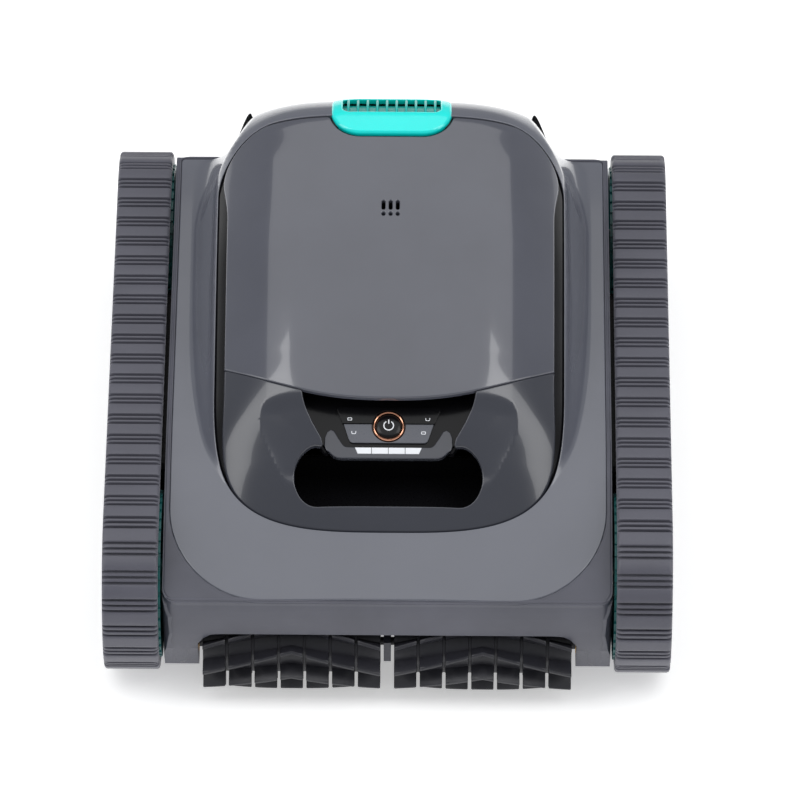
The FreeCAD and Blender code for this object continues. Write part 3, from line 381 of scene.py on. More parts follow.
# ---------------------------------------------------------------- materials
def finish(name, colour, rough, bump=0.02, grain=900.0, drift=0.12, coat=0.0, metal=0.0, wear=0.25,
           streak=1.0,
           alpha=1.0, sheen=0.0, coat_rough=0.05, specular=0.5):
    """A moulded, rubber or metal finish: colour drift, fine grain in bump and roughness, and worn edges."""
    material = bpy.data.materials.new(name)
    material.use_nodes = True
    nodes, links = material.node_tree.nodes, material.node_tree.links
    shader = nodes["Principled BSDF"]
    place = nodes.new("ShaderNodeTexCoord")
    stretch = nodes.new("ShaderNodeMapping")
    stretch.inputs["Scale"].default_value = (1.0, 1.0 / streak, 1.0)
    links.new(place.outputs["Object"], stretch.inputs["Vector"])
    cloud = nodes.new("ShaderNodeTexNoise")
    cloud.inputs["Scale"].default_value = 14.0
    cloud.inputs["Detail"].default_value = 4.0
    links.new(stretch.outputs["Vector"], cloud.inputs["Vector"])
    fine = nodes.new("ShaderNodeTexNoise")
    fine.inputs["Scale"].default_value = grain
    fine.inputs["Detail"].default_value = 3.0
    links.new(stretch.outputs["Vector"], fine.inputs["Vector"])
    shades = nodes.new("ShaderNodeValToRGB")
    for element, factor in zip(shades.color_ramp.elements, (1 - drift, 1 + drift)):
        element.color = [min(c * factor, 1.0) for c in colour] + [1.0]
    shades.color_ramp.elements[0].position = 0.36
    shades.color_ramp.elements[1].position = 0.64
    links.new(cloud.outputs["Fac"], shades.inputs["Fac"])
    shape = nodes.new("ShaderNodeNewGeometry")
    edges = nodes.new("ShaderNodeMapRange")
    edges.inputs["From Min"].default_value = 0.54
    edges.inputs["From Max"].default_value = 0.72
    edges.inputs["To Max"].default_value = wear
    links.new(shape.outputs["Pointiness"], edges.inputs["Value"])
    worn = nodes.new("ShaderNodeMix")
    worn.data_type = "RGBA"
    worn.inputs["B"].default_value = [min(c * 1.9 + 0.02, 1.0) for c in colour] + [1.0]
    links.new(edges.outputs["Result"], worn.inputs["Factor"])
    links.new(shades.outputs["Color"], worn.inputs["A"])
    links.new(worn.outputs["Result"], shader.inputs["Base Color"])
    dull = nodes.new("ShaderNodeMapRange")
    dull.inputs["From Min"].default_value = 0.3
    dull.inputs["From Max"].default_value = 0.7
    dull.inputs["To Min"].default_value = rough * 0.86
    dull.inputs["To Max"].default_value = min(rough * 1.14, 1.0)
    links.new(fine.outputs["Fac"], dull.inputs["Value"])
    links.new(dull.outputs["Result"], shader.inputs["Roughness"])
    raised = nodes.new("ShaderNodeBump")
    raised.inputs["Strength"].default_value = bump
    raised.inputs["Distance"].default_value = 0.0004
    links.new(fine.outputs["Fac"], raised.inputs["Height"])
    links.new(raised.outputs["Normal"], shader.inputs["Normal"])
    shader.inputs["Metallic"].default_value = metal
    shader.inputs["Coat Weight"].default_value = coat
    shader.inputs["Coat Roughness"].default_value = coat_rough
    shader.inputs["Sheen Weight"].default_value = sheen
    shader.inputs["Alpha"].default_value = alpha
    shader.inputs["Specular IOR Level"].default_value = specular
    return material


finishes = {
    "hull_plastic": finish("hull plastic", (0.085, 0.087, 0.112), 0.36, bump=0.10, grain=700, wear=0.2),
    "shell_plastic": finish("shell plastic", (0.118, 0.124, 0.152), 0.22, bump=0.01, coat=0.8, drift=0.03,
                            wear=0.3),
    "cover_plastic": finish("cover plastic", (0.040, 0.043, 0.056), 0.22, bump=0.01, coat=0.6, drift=0.04,
                            wear=0.3),
    "smoked_lid": finish("smoked lid", (0.078, 0.082, 0.104), 0.16, bump=0.008, coat=0.9, drift=0.05,
                         wear=0.2),
    "black_plastic": finish("black plastic", (0.004, 0.004, 0.005), 0.30, bump=0.08, grain=800, drift=0.2,
                            wear=0.1,
                            specular=0.25),
    "side_plastic": finish("side plastic", (0.045, 0.047, 0.058), 0.42, bump=0.14, grain=650, wear=0.3),
    "teal_cap": finish("teal cap", (0.002, 0.84, 0.78), 0.22, bump=0.01, coat=0.6, drift=0.03, wear=0.05),
    "teal_vanes": finish("teal vanes", (0.003, 0.50, 0.45), 0.34, bump=0.04, drift=0.08, wear=0.15),
    "white_plastic": finish("white plastic", (0.84, 0.86, 0.90), 0.38, bump=0.02, drift=0.03, wear=0.0),
    "panel_plastic": finish("panel plastic", (0.004, 0.004, 0.005), 0.20, bump=0.006, coat=0.05, drift=0.1,
                            specular=0.25),
    "panel_grey": finish("panel grey", (0.10, 0.105, 0.125), 0.30, bump=0.02, grain=1200, drift=0.05),
    "copper_ring": finish("rose gold", (0.86, 0.42, 0.27), 0.20, bump=0.01, metal=1.0, drift=0.05, wear=0.1),
    "teal_wheel": finish("teal wheel", (0.003, 0.085, 0.085), 0.38, bump=0.06, drift=0.1, wear=0.3),
    "tread_rubber": finish("tread rubber", (0.088, 0.088, 0.112), 0.46, bump=0.16, grain=560, drift=0.08,
                           wear=0.35,
                           sheen=0.15),
    "blade_rubber": finish("blade rubber", (0.020, 0.020, 0.026), 0.42, bump=0.12, grain=620, drift=0.1,
                           wear=0.5),
    "seal_rubber": finish("seal rubber", (0.010, 0.010, 0.011), 0.60, bump=0.16, grain=600, drift=0.2,
                          wear=0.1),
    "gear_plastic": finish("gear nylon", (0.08, 0.08, 0.09), 0.45, bump=0.08, wear=0.4),
    "steel": finish("steel", (0.56, 0.56, 0.58), 0.28, bump=0.05, metal=1.0, streak=6.0, wear=0.2),
    "motor_can": finish("motor can", (0.42, 0.42, 0.44), 0.34, bump=0.06, metal=1.0, streak=8.0, wear=0.2),
    "bronze_bush": finish("bronze", (0.50, 0.32, 0.14), 0.36, bump=0.08, metal=1.0, wear=0.3),
    "box_plastic": finish("box plastic", (0.14, 0.15, 0.16), 0.46, bump=0.10, wear=0.3),
    "mesh_fabric": finish("filter mesh", (0.50, 0.51, 0.53), 0.80, bump=0.60, grain=1500, drift=0.1,
                          sheen=0.2),
    "cell_wrap": finish("cell wrap", (0.04, 0.13, 0.34), 0.30, bump=0.04, wear=0.2),
    "board_green": finish("solder mask", (0.015, 0.16, 0.07), 0.34, bump=0.10, wear=0.3),
    "socket_brass": finish("plated socket", (0.72, 0.56, 0.28), 0.30, bump=0.04, metal=1.0, wear=0.2),
}
node_slots = {part["node"]: part["material_slot"] for part in frame["record"]["subparts"]}
for node, obj in frame["nodes"].items():
    obj.data.materials.clear()
    obj.data.materials.append(finishes[node_slots[node]])


def dress(obj, body, slot, look=None, stands_for=()):
    """Gives a piece its finish, from its look or else its slot, and its body, and hides the CAD nodes that it
    stands for.
    """
    obj.data.materials.append(finishes[look or slot])
    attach(obj, body)
    if stands_for:
        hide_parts(*stands_for)
    return obj


# ---------------------------------------------------------------- upper shell, hull skin
def shell_columns():
    """Grid columns of the shell, close together where its flanks are steep."""
    sides = list(np.arange(98.5, 152.0, 1.3))
    flat = list(np.arange(1.5, 98.0, 3.0)) + [153.5, 156.0]
    half = sides + flat
    return sorted([-x for x in half] + half)


def with_rear(loop, half, detour):
    """The outline with its rear edge, between -half and half, replaced by a detour from right to left."""
    keep = [not (abs(x) < half and y > 130) for x, y in loop]
    first = keep.index(False)
    last = len(keep) - keep[::-1].index(False)
    return loop[:first] + detour + loop[last:]


def build_shell():
    """The glossy shell, with an opening for the lid, the handle cover and the cap."""
    rear = ISLAND_REAR
    notch = [(41.0, rear), (41.0, 174.0)]
    hole = with_rear(island(), 70.5, notch + [(-x, y) for x, y in reversed(notch)])
    piece = plate("shell_skin", shell_plan(), shell, lambda x, y: shell(x, y) - 3.0, holes=[hole],
                  edge=(0.9, 0.9), step=3.0, xs=shell_columns())
    dress(piece, "chassis", "shell_plastic", stands_for=["upper_shell"])


build_shell()


# Front profile of the hull, as how far forward it reaches at each height.
FRONT_PROFILE = [(15.0, -200.8), (32.0, -207.6), (48.0, -213.2), (58.0, -214.9), (68.0, -215.7),
                 (78.0, -215.6),
                 (86.0, -215.0), (93.0, -214.0), (98.0, -212.8), (101.5, -211.5)]


def hull_front(z):
    heights, reaches = zip(*FRONT_PROFILE)
    return float(np.interp(z, heights, reaches))


def bumper_bottom(x):
    """Lower edge of the hull's front: high over the brushes, down to the two cheeks at the sides."""
    edge = [(0, 68.0), (122, 68.0), (128, 66.8), (133, 62.5), (137, 55.5), (139, 52.0), (141.5, 50.0),
            (144.0, 44.0), (145.6, 34.0), (146.2, 22.0), (149.0, 16.5), (162, 15.0)]
    places, heights = zip(*edge)
    return float(np.interp(abs(x), places, heights))


def build_bumper():
    """The visible front of the hull: a skin that leaves the shell's seam and rolls down to its lower edge."""
    corner, stations = 9.0, []
    xs = [162.15 - corner * (1 - math.sin(a)) for a in np.linspace(math.pi / 2, 0, 9)]
    xs = xs + [151.0, 149.5, 148.0, 146.4, 145.9, 145.0, 144.0, 142.5, 141.0, 139.0, 137.0, 135.0, 133.0,
               130.5, 128.0]
    xs += [124.0, 118.0, 105.0, 90.0, 70.0, 45.0, 20.0]
    xs = xs + [0.0] + [-x for x in reversed(xs)]
    for x in xs:
        inside = max(abs(x) - 162.15 + corner, 0.0)
        back = corner - math.sqrt(max(corner ** 2 - inside ** 2, 0.0))
        low = bumper_bottom(x)
        outer = []
        for k in range(19):
            z = low + (101.5 - low) * (k / 18)
            outer.append((x, hull_front(z) + back, z))
        x_in = x * 0.986
        inner = [(x_in, min(y + 2.6, -180), z) for _, y, z in outer]
        stations.append(outer + list(reversed(inner)))
    piece = swept("bumper_skin", stations, smooth=50.0)
    dress(piece, "chassis", "hull_plastic")


def build_hull_rim():
    """The hull's top around the shell, level with it, with a rolled outer edge."""
    outline = mirrored([(0.0, -211.9)] + arc((152.0, -202.0), 9.9, 270, 360, 8) + [(161.9, 193.8)])
    piece = plate("hull_rim", outline, deck, lambda x, y: deck(x, y) - 3.5, holes=[shell_plan(0.45)],
                  edge=(1.6, 2.2), step=2.0)
    dress(piece, "chassis", "hull_plastic")


build_bumper()
build_hull_rim()


# ---------------------------------------------------------------- lid, cover and the painted shadow strips beside them
ISLE = moved_in(island(), island_gap)


def seam_line(gap):
    """The seam from the left side of the island to its right side, moved back by a gap."""
    half = max(x for x, y in ISLE if -48 < y < -36)
    xs = [half * math.sin(math.pi / 2 * k / 40) for k in range(-40, 41)]
    return [(x, seam(x) + gap) for x in xs]


LID_REAR = 137.6


def lid_outline():
    """The lid: the seam, one side, the straight rear with its notch around the cap, and the other side."""
    line = seam_line(0.45)
    behind = [p for p in ISLE if p[1] > line[0][1] + 1.0 and not (abs(p[0]) < 50.0 and p[1] > 130)]
    right = [(x, min(y, LID_REAR)) for x, y in behind if x > 0]
    left = [(-x, y) for x, y in reversed(right)]
    bend = [math.pi / 2 * k / 12 for k in range(13)]
    beside_cap = [(22.6 + 23.6 * math.cos(a), 143.3 - 24.9 * math.sin(a)) for a in bend]
    detour = [(47.4, LID_REAR)] + [p for p in beside_cap if p[1] < LID_REAR - 0.5]
    return line + right + detour + [(-x, y) for x, y in reversed(detour)] + left


def cover_outline():
    """The handle cover: the island's front, the seam, and the opening for the pod and the fingers."""
    line = seam_line(0.0)
    right = [p for p in ISLE if p[0] > 0.5 and p[1] < line[0][1] - 1.0]
    behind = [p for p in line if p[0] > RECESS_HALF + 1.0]
    inside = [(RECESS_HALF, seam(RECESS_HALF))] + RECESS_SIDE
    inside += arc((51.0, -129.0), 17.0, 82, 0, 9) + arc((51.0, -130.0), 17.0, 0, -90, 9)
    half_way = right + behind[::-1] + inside
    return [(0.0, min(y for x, y in ISLE))] + half_way + [(-x, y) for x, y in reversed(half_way)]


RECESS_HALF = 63.0
RECESS_SIDE = [(62.2, -85.0), (60.4, -89.5), (55.0, -99.0), (48.5, -108.0), (47.6, -111.6), (48.6, -112.6)]
# Outer edge of the scooped cheek on the left of the grip, from the recess to the end of the slot.
CHEEK = curve([(64.0, -80.2), (74.0, -78.4), (84.0, -79.5), (90.0, -84.0), (92.6, -91.5), (92.0, -101.0),
               (88.5, -111.0), (83.0, -121.0), (76.5, -130.5), (70.0, -137.5), (66.2, -140.6)], 6)


def scoop(x, y):
    """How deep the cheek is scooped out of the dome at a point."""
    x = abs(x)
    if x > 94 or y > -74 or y < -146:
        return 0.0
    nearest, side = 1e9, 0.0
    for (ax, ay), (bx, by) in zip(CHEEK, CHEEK[1:]):
        along = (bx - ax, by - ay)
        t = min(max(((x - ax) * along[0] + (y - ay) * along[1]) / (along[0] ** 2 + along[1] ** 2), 0.0), 1.0)
        dx, dy = x - ax - t * along[0], y - ay - t * along[1]
        if math.hypot(dx, dy) < nearest:
            nearest = math.hypot(dx, dy)
            side = along[0] * dy - along[1] * dx
    if side > 0:
        return 0.0
    ends = smooth_step((-80.0 - y) / 12.0) * smooth_step((y + 141.0) / 14.0)
    return 5.2 * (1 - math.exp(-nearest / 9.0)) * ends


def cover_top(x, y):
    return dome(x, y) - scoop(x, y)


VENTS = [rounded((x - 1.25, 53.0), (x + 1.25, 60.8), 1.2, 5) for x in (-5.2, 0.0, 5.2)]
VENTS += [rounded((x - 1.25, 48.0), (x + 1.25, 50.9), 1.2, 5) for x in (-5.2, 0.0, 5.2)]


def build_lid():
    piece = plate("lid_glass", lid_outline(), dome, lambda x, y: dome(x, y) - LID_WALL, holes=VENTS,
                  edge=(0.7, 0.9), step=4.0)
    dress(piece, "lid", "smoked_lid", stands_for=["lid"])
    for side, x in (("right", -58.0), ("left", 58.0)):
        profile = arc((HINGE_Y, HINGE_Z), HINGE_RADIUS, -160, 60, 16)
        profile += [(132.0, 233.4), (126.0, 232.8), (121.0, 231.6), (121.0, 229.0), (129.6, 228.6)]
        stations = [[(x + w, y, z) for y, z in profile] for w in (-9.9, 9.9)]
        knuckle = swept("lid_knuckle_" + side, stations)
        softened(knuckle, 0.5)
        dress(knuckle, "lid", "smoked_lid")


def build_cover():
    piece = plate("handle_skin", cover_outline(), cover_top, lambda x, y: cover_top(x, y) - LID_WALL,
                  edge=(1.1, 1.1), step=2.2, creases=[CHEEK, [(-x, y) for x, y in CHEEK]])
    dress(piece, "chassis", "cover_plastic", stands_for=["handle_cover"])


def build_shadow_gap_strip():
    """Near-black glossy strips beside the lid and cover, set a little lower than both: painted shade for the
    shadow gap and the dark reflection of the lid's steep sides.
    """
    outer = moved_in(island(), 0.35)
    inner = moved_in(island(), 10.0)
    piece = plate("shadow_gap_strip", outer, lambda x, y: dome(x, y) - 2.2, lambda x, y: dome(x, y) - 5.0,
                  holes=[inner],
                  edge=(0.8, 0.8), step=2.5)
    # The near-black finish on these strips is painted shade. It stands for the shadow gap and the dark
    # reflection beside the lid.
    dress(piece, "chassis", "black_plastic", look="panel_plastic")


build_lid()
build_cover()
build_shadow_gap_strip()


# ---------------------------------------------------------------- control pod
BUTTON_Y = POD_TIP_Y + BUTTON_UP * math.cos(POD_SLOPE)
BUTTON_Z = POD_TIP_Z + BUTTON_UP * math.sin(POD_SLOPE)
POD = Matrix.Translation(Vector((0.0, BUTTON_Y, BUTTON_Z)) * MM) @ Matrix.Rotation(POD_SLOPE, 4, "X")


def flat(height):
    return lambda x, y: height


def on_pod(name, outline, low, high, slot, look=None, holes=(), edge=0.3, body="chassis", stands_for=(),
           step=3.0):
    """A flat piece on the pod's slope, its outline drawn around the middle of the button."""
    piece = plate(name, outline, flat(high), flat(low), holes=holes, edge=(edge, edge), step=step,
                  matrix=POD, turns=3)
    return dress(piece, body, slot, look, stands_for)


def build_pod():
    split, gap = 1.6, 12.3

    def half_at(up):
        """Half the panel's width at a height up the slope."""
        return 27.5 + (up + 12.7) * (38.2 - 27.5) / 27.5

    bite = math.degrees(math.asin(split / gap))
    lower = [(-half_at(split) + 0.6, split), (-28.6, -10.6)] + arc((-25.4, -9.7), 3.2, 195, 270, 5)
    lower += arc((25.4, -9.7), 3.2, 270, 345, 5) + [(28.6, -10.6), (half_at(split) - 0.6, split)]
    lower += arc((0.0, 0.0), gap, bite, bite - 180 - 2 * bite, 30)
    on_pod("panel_lower", lower, 0.0, 1.3, "panel_plastic", "panel_grey", stands_for=["control_panel"],
           step=2.0)
    upper = [(half_at(split + 0.5), split + 0.5), (half_at(12.6), 12.6)] + arc((35.4, 13.0), 2.0, 20, 90, 4)
    upper += arc((-35.4, 13.0), 2.0, 90, 160, 4) + [(-half_at(12.6), 12.6), (-half_at(split + 0.5),
                                                                             split + 0.5)]
    bite = math.degrees(math.asin((split + 0.5) / gap))
    upper += arc((0.0, 0.0), gap, 180 - bite, bite, 30)
    on_pod("panel_upper", upper, 0.0, 1.3, "panel_plastic", step=2.0)

    ring = [(9.75, -2.0), (9.75, 1.9), (10.05, 2.4), (10.6, 2.65), (11.1, 2.4), (11.6, 1.5), (11.6, -2.0),
            (9.75, -2.0)]
    dress(turned("ring_rose_gold", ring, POD), "chassis", "copper_ring", stands_for=["button_ring"])
    cap = [(0.001, 2.9), (3.0, 2.86), (6.0, 2.62), (8.0, 2.2), (9.0, 1.75), (9.45, 1.2), (9.55, 0.4),
           (9.55, -1.4),
           (0.001, -1.4), (0.001, 2.9)]
    dress(turned("button_cap", cap, POD), "button", "panel_plastic", stands_for=["power_button"])
    lift = Matrix.Translation(Vector((0, 0, 2.9)) * MM)
    hoop = arc((0.0, 0.0), 3.9, 60, -240, 30) + list(reversed(arc((0.0, 0.0), 3.1, 60, -240, 30)))
    bar = rounded((-0.42, 1.4), (0.42, 4.7), 0.35, 3)
    for name, outline in (("power_hoop", hoop), ("power_bar", bar)):
        symbol = plate(name, outline, flat(0.12), flat(-0.25), edge=(0.05, 0.05), step=1.0,
                       matrix=POD @ lift, turns=2)
        dress(symbol, "button", "white_plastic")

    right = arc((34.0, -14.9), 10.0, 270, 325, 6) + [(45.2, -18.6), (46.4, -15.2), (46.2, -9.0), (44.6, -4.6)]
    right += [(42.0, -2.4), (39.4, -3.6), (36.4, -9.0), (31.8, -15.0)]
    on_pod("pod_tongue", mirrored([(0.0, -24.9)] + right[:-1] + arc((29.4, -11.4), 4.6, -30, -90, 5)), -3.6,
           0.9,
           "cover_plastic", edge=0.8, step=2.5)
    base = mirrored([(0.0, -24.0), (34.0, -24.0), (44.0, -18.0), (50.0, -11.0), (58.0, 2.0), (61.5, 12.0),
                     (62.0, 26.0)])
    on_pod("pod_base", base, -4.0, -0.4, "black_plastic", "panel_plastic", stands_for=["control_pod"],
           step=4.0)
    for k in range(4):
        left, top = -24.2 + 12.15 * k, -16.6
        lean_left, lean_right = (2.0 if k == 0 else 0.0), (2.0 if k == 3 else 0.0)
        segment = [(left + lean_left, -21.4), (left + 11.75 - lean_right, -21.4), (left + 11.75, top),
                   (left, top)]
        on_pod(f"light_{k + 1}", segment, 0.5, 1.35, "white_plastic", edge=0.25, step=2.0,
               stands_for=["light_bar"] if k == 0 else ())


def build_icons():
    """Four small outlined symbols: two baskets above, an arch and a filter below."""
    places = [(-28.2, 5.6, 1), (28.2, 5.6, 0), (-25.2, -5.0, 0), (25.2, -5.0, 1)]
    for number, (x, y, closed) in enumerate(places):
        wide, tall = 1.7, 1.15
        if closed:
            outline = rounded((x - wide, y - tall), (x + wide, y + tall), 0.7, 4)
            hole = [rounded((x - wide + 0.5, y - tall + 0.5), (x + wide - 0.5, y + tall - 0.5), 0.4, 4)]
        else:
            outer = arc((x + wide - 0.9, y - tall + 0.9), 0.9, 0, -90, 4)
            outer += arc((x - wide + 0.9, y - tall + 0.9), 0.9, 270, 180, 4)
            inner = arc((x - wide + 1.0, y - tall + 1.0), 0.5, 180, 270, 4)
            inner += arc((x + wide - 1.0, y - tall + 1.0), 0.5, 270, 360, 4)
            outline = [(x + wide, y + tall)] + outer + [(x - wide, y + tall),
                                                        (x - wide + 0.5, y + tall)] + inner
            outline += [(x + wide - 0.5, y + tall)]
            hole = []
        on_pod(f"icon_{number + 1}", outline, 1.1, 1.42, "white_plastic", holes=hole, edge=0.04, step=1.0,
               stands_for=["panel_icons"] if number == 0 else ())


def build_recess():
    """The pod's side walls: a glossy black skin from the cover's edge down to the pod's slope."""
    right = [(63.0, -70.5), (62.2, -80.0), (60.3, -89.0), (54.8, -99.0), (48.3, -108.0), (47.2, -112.0),
             (44.0, -116.0)]
    for side in (-1, 1):
        stations = []
        for x, y in right:
            top = cover_top(x, y) - 1.4
            low = POD_TIP_Z + (y - POD_TIP_Y) * math.tan(POD_SLOPE) - 3.0
            section = []
            for k in range(7):
                t = k / 6
                section.append((side * (x + 0.6 - 1.6 * t), y, top + (low - top) * t))
            section += [(side * (x + 2.4), y, z) for _, y, z in reversed(section)]
            stations.append(section)
        name = "recess_wall_" + ("left" if side > 0 else "right")
        dress(swept(name, stations), "chassis", "black_plastic", "panel_plastic")
    low = POD_TIP_Z + (-70.5 - POD_TIP_Y) * math.tan(POD_SLOPE) - 3.0
    stations = [[(x, -70.6, dome(x, -70) - 4.0), (x, -70.6, low),
                 (x, -68.6, low), (x, -68.6, dome(x, -70) - 4.0)]
                for x in np.linspace(-64, 64, 20)]
    dress(swept("recess_back", stations), "chassis", "black_plastic", "panel_plastic")


build_pod()
build_icons()
build_recess()


# ---------------------------------------------------------------- outlet cap
def build_cap():
    def height(x, y):
        """The cap's crown, which falls away towards its rounded rim."""
        dx = max(abs(x) - 22.6, 0.0)
        dy = max(143.3 - y, y - 156.0, 0.0)
        out = min(math.hypot(dx, dy) / 22.0, 1.0)
        return dome(x, y) + 3.3 - 2.6 * out ** 3.0
    piece = plate("cap_skin", cap_outline, height, lambda x, y: dome(x, y) - 3.2, holes=[cap_opening],
                  edge=(2.2, 2.4), step=2.0)
    dress(piece, "chassis", "teal_cap", stands_for=["outlet_cap"])


def build_vanes():
    """Ten upright vanes across the outlet, each with a rounded top edge."""
    count, reach, half = 10, 35.6, 0.85
    faces, vertices = [], []
    for k in range(count):
        x = -reach + (2 * reach) * (k + 0.5) / count
        first = len(vertices)
        ys = np.linspace(141.3, 169.7, 9)
        for y in ys:
            top = dome(x, y) + 1.2
            low = top - 9.0
            section = [(-half, low), (-half, top - 0.8), (-0.5 * half, top - 0.15), (0.0, top)]
            section += [(-w, z) for w, z in reversed(section[:-1])]
            vertices += [(x + w, y, z) for w, z in section]
        n = 7
        for i in range(len(ys) - 1):
            for j in range(n):
                a, b = first + i * n + j, first + i * n + (j + 1) % n
                faces.append([a, b, b + n, a + n][::-1])
        faces.append([first + j for j in range(n)])
        faces.append([first + (len(ys) - 1) * n + j for j in reversed(range(n))])
    dress(make("vanes", vertices, faces), "chassis", "teal_vanes", stands_for=["outlet_vanes"])
    bed = plate("vane_bed", rounded((-36.6, 140.4), (36.6, 170.6), 6.6), lambda x, y: dome(x, y) - 5.4,
                lambda x, y: dome(x, y) - 7.0, edge=(0.4, 0.4), step=4.0)
    dress(bed, "chassis", "teal_vanes")


build_cap()
build_vanes()


# ---------------------------------------------------------------- track belts
WHEEL_BASE, TREAD_RADIUS, NEUTRAL, CARCASS = 321.7, 69.8, 64.0, 61.4
BELT_INNER, BELT_OUTER, PERIODS, TEETH = 165.0, 205.0, 54, 104
GROOVE, LUG_AT = 3.2, 10.65


def belt_point(s, radius):
    """A point beside the belt's neutral line, at a length along it and a radius from the wheel's axis."""
    half, turn = WHEEL_BASE / 2, math.pi * NEUTRAL
    s %= 2 * (WHEEL_BASE + turn)
    if s < WHEEL_BASE:
        return half - s, TREAD_RADIUS + radius
    s -= WHEEL_BASE
    if s < turn:
        a = math.pi / 2 + s / NEUTRAL
        return -half + radius * math.cos(a), TREAD_RADIUS + radius * math.sin(a)
    s -= turn
    if s < WHEEL_BASE:
        return -half + s, TREAD_RADIUS - radius
    a = -math.pi / 2 + (s - WHEEL_BASE) / NEUTRAL
    return half + radius * math.cos(a), TREAD_RADIUS + radius * math.sin(a)


def belt_samples(period):
    """One period of the tread as (length along it, depth below its top, whether a thin rib)."""
    lug, rib, at_rib = 5.15, 1.15, period / 2 - 1.9
    shape = [(-lug, GROOVE, 0), (-lug + 0.15, 1.0, 0), (-lug + 0.5, 0.32, 0), (-lug + 1.2, 0.03, 0),
             (0.0, 0.0, 0)]
    shape += [(-s, d, k) for s, d, k in reversed(shape[:-1])]
    thin = [(-rib, GROOVE, 1), (-rib + 0.1, 0.9, 1), (-rib + 0.4, 0.42, 1), (0.0, 0.3, 1)]
    thin += [(-s, d, k) for s, d, k in reversed(thin[:-1])]
    return shape + [(s + at_rib, d, k) for s, d, k in thin] + [(s + at_rib + 3.8, d, k) for s, d, k in thin]


def tooth_depth(s, pitch):
    """How far the belt's inside stands in towards the wheel at a length along it."""
    off = abs((s + pitch / 2) % pitch - pitch / 2)
    return 2.4 * smooth_step((2.35 - off) / 0.5)


def build_belt(side):
    length = 2 * WHEEL_BASE + 2 * math.pi * NEUTRAL
    period, pitch = length / PERIODS, length / TEETH
    samples = [(LUG_AT + period * k + s, depth, rib) for k in range(PERIODS) for s, depth,
               rib in belt_samples(period)]
    for k in range(TEETH):
        for s in (-2.35, -2.1, -1.85, 1.85, 2.1, 2.35):
            at = (pitch * k + s - LUG_AT + period) % period
            base = belt_samples(period)
            keys = [b[0] % period for b in base]
            order = sorted(range(len(base)), key=lambda i: keys[i])
            depth = float(np.interp(at, [keys[i] for i in order], [base[i][1] for i in order], period=period))
            near = min(order, key=lambda i: abs(keys[i] - at))
            samples.append((pitch * k + s, depth, base[near][2]))
    samples = sorted(((s % length, depth, rib) for s, depth, rib in samples), key=lambda q: q[0])
    sections = []
    edge_drops = ((0.0, 2.2, 3.2), (0.35, 1.15, 2.4), (1.0, 0.4, 1.1), (2.2, 0.0, 0.35), (4.0, 0.0, 0.0))
    for inset, lug_drop, rib_drop in edge_drops:
        sections.append((BELT_OUTER - inset, lug_drop, rib_drop))
    middle = [(x, 0.0, 0.0) for x in (195.0, 185.0, 175.0)]
    inner = [(BELT_INNER + BELT_OUTER - x, a, b) for x, a, b in reversed(sections)]
    stations = []
    for x, lug_drop, rib_drop in sections + middle + inner:
        ring = []
        for s, depth, rib in samples:
            drop = min(depth + (rib_drop if rib else lug_drop), GROOVE)
            ring.append((side * x, *belt_point(s, TREAD_RADIUS - drop)))
        stations.append(ring)
    inside = [[(side * x, *belt_point(s, CARCASS - tooth_depth(s, pitch))) for s, _, _ in samples]
              for x in (BELT_INNER, BELT_OUTER)]
    stations = stations + inside + [stations[0]]
    count = len(samples)
    vertices = [p for section in stations[:-1] for p in section]
    faces, total = [], len(stations) - 1
    for k in range(total):
        for i in range(count):
            j = (i + 1) % count
            a, b = k * count, ((k + 1) % total) * count
            faces.append([a + i, a + j, b + j, b + i][::side])
    name = "tread_" + ("left" if side > 0 else "right")
    node = "track_belt_" + ("left" if side > 0 else "right")
    dress(make(name, vertices, faces, smooth=38.0), "chassis", "tread_rubber", stands_for=[node])


build_belt(1)
build_belt(-1)


# ---------------------------------------------------------------- brushes
BRUSH_Y, BRUSH_Z, BRUSH_INNER, BRUSH_OUTER = -195.0, 36.0, 5.0, 133.5
BLADES, RINGS, SLIT, TWIST = 10, 7, 2.5, 9.0


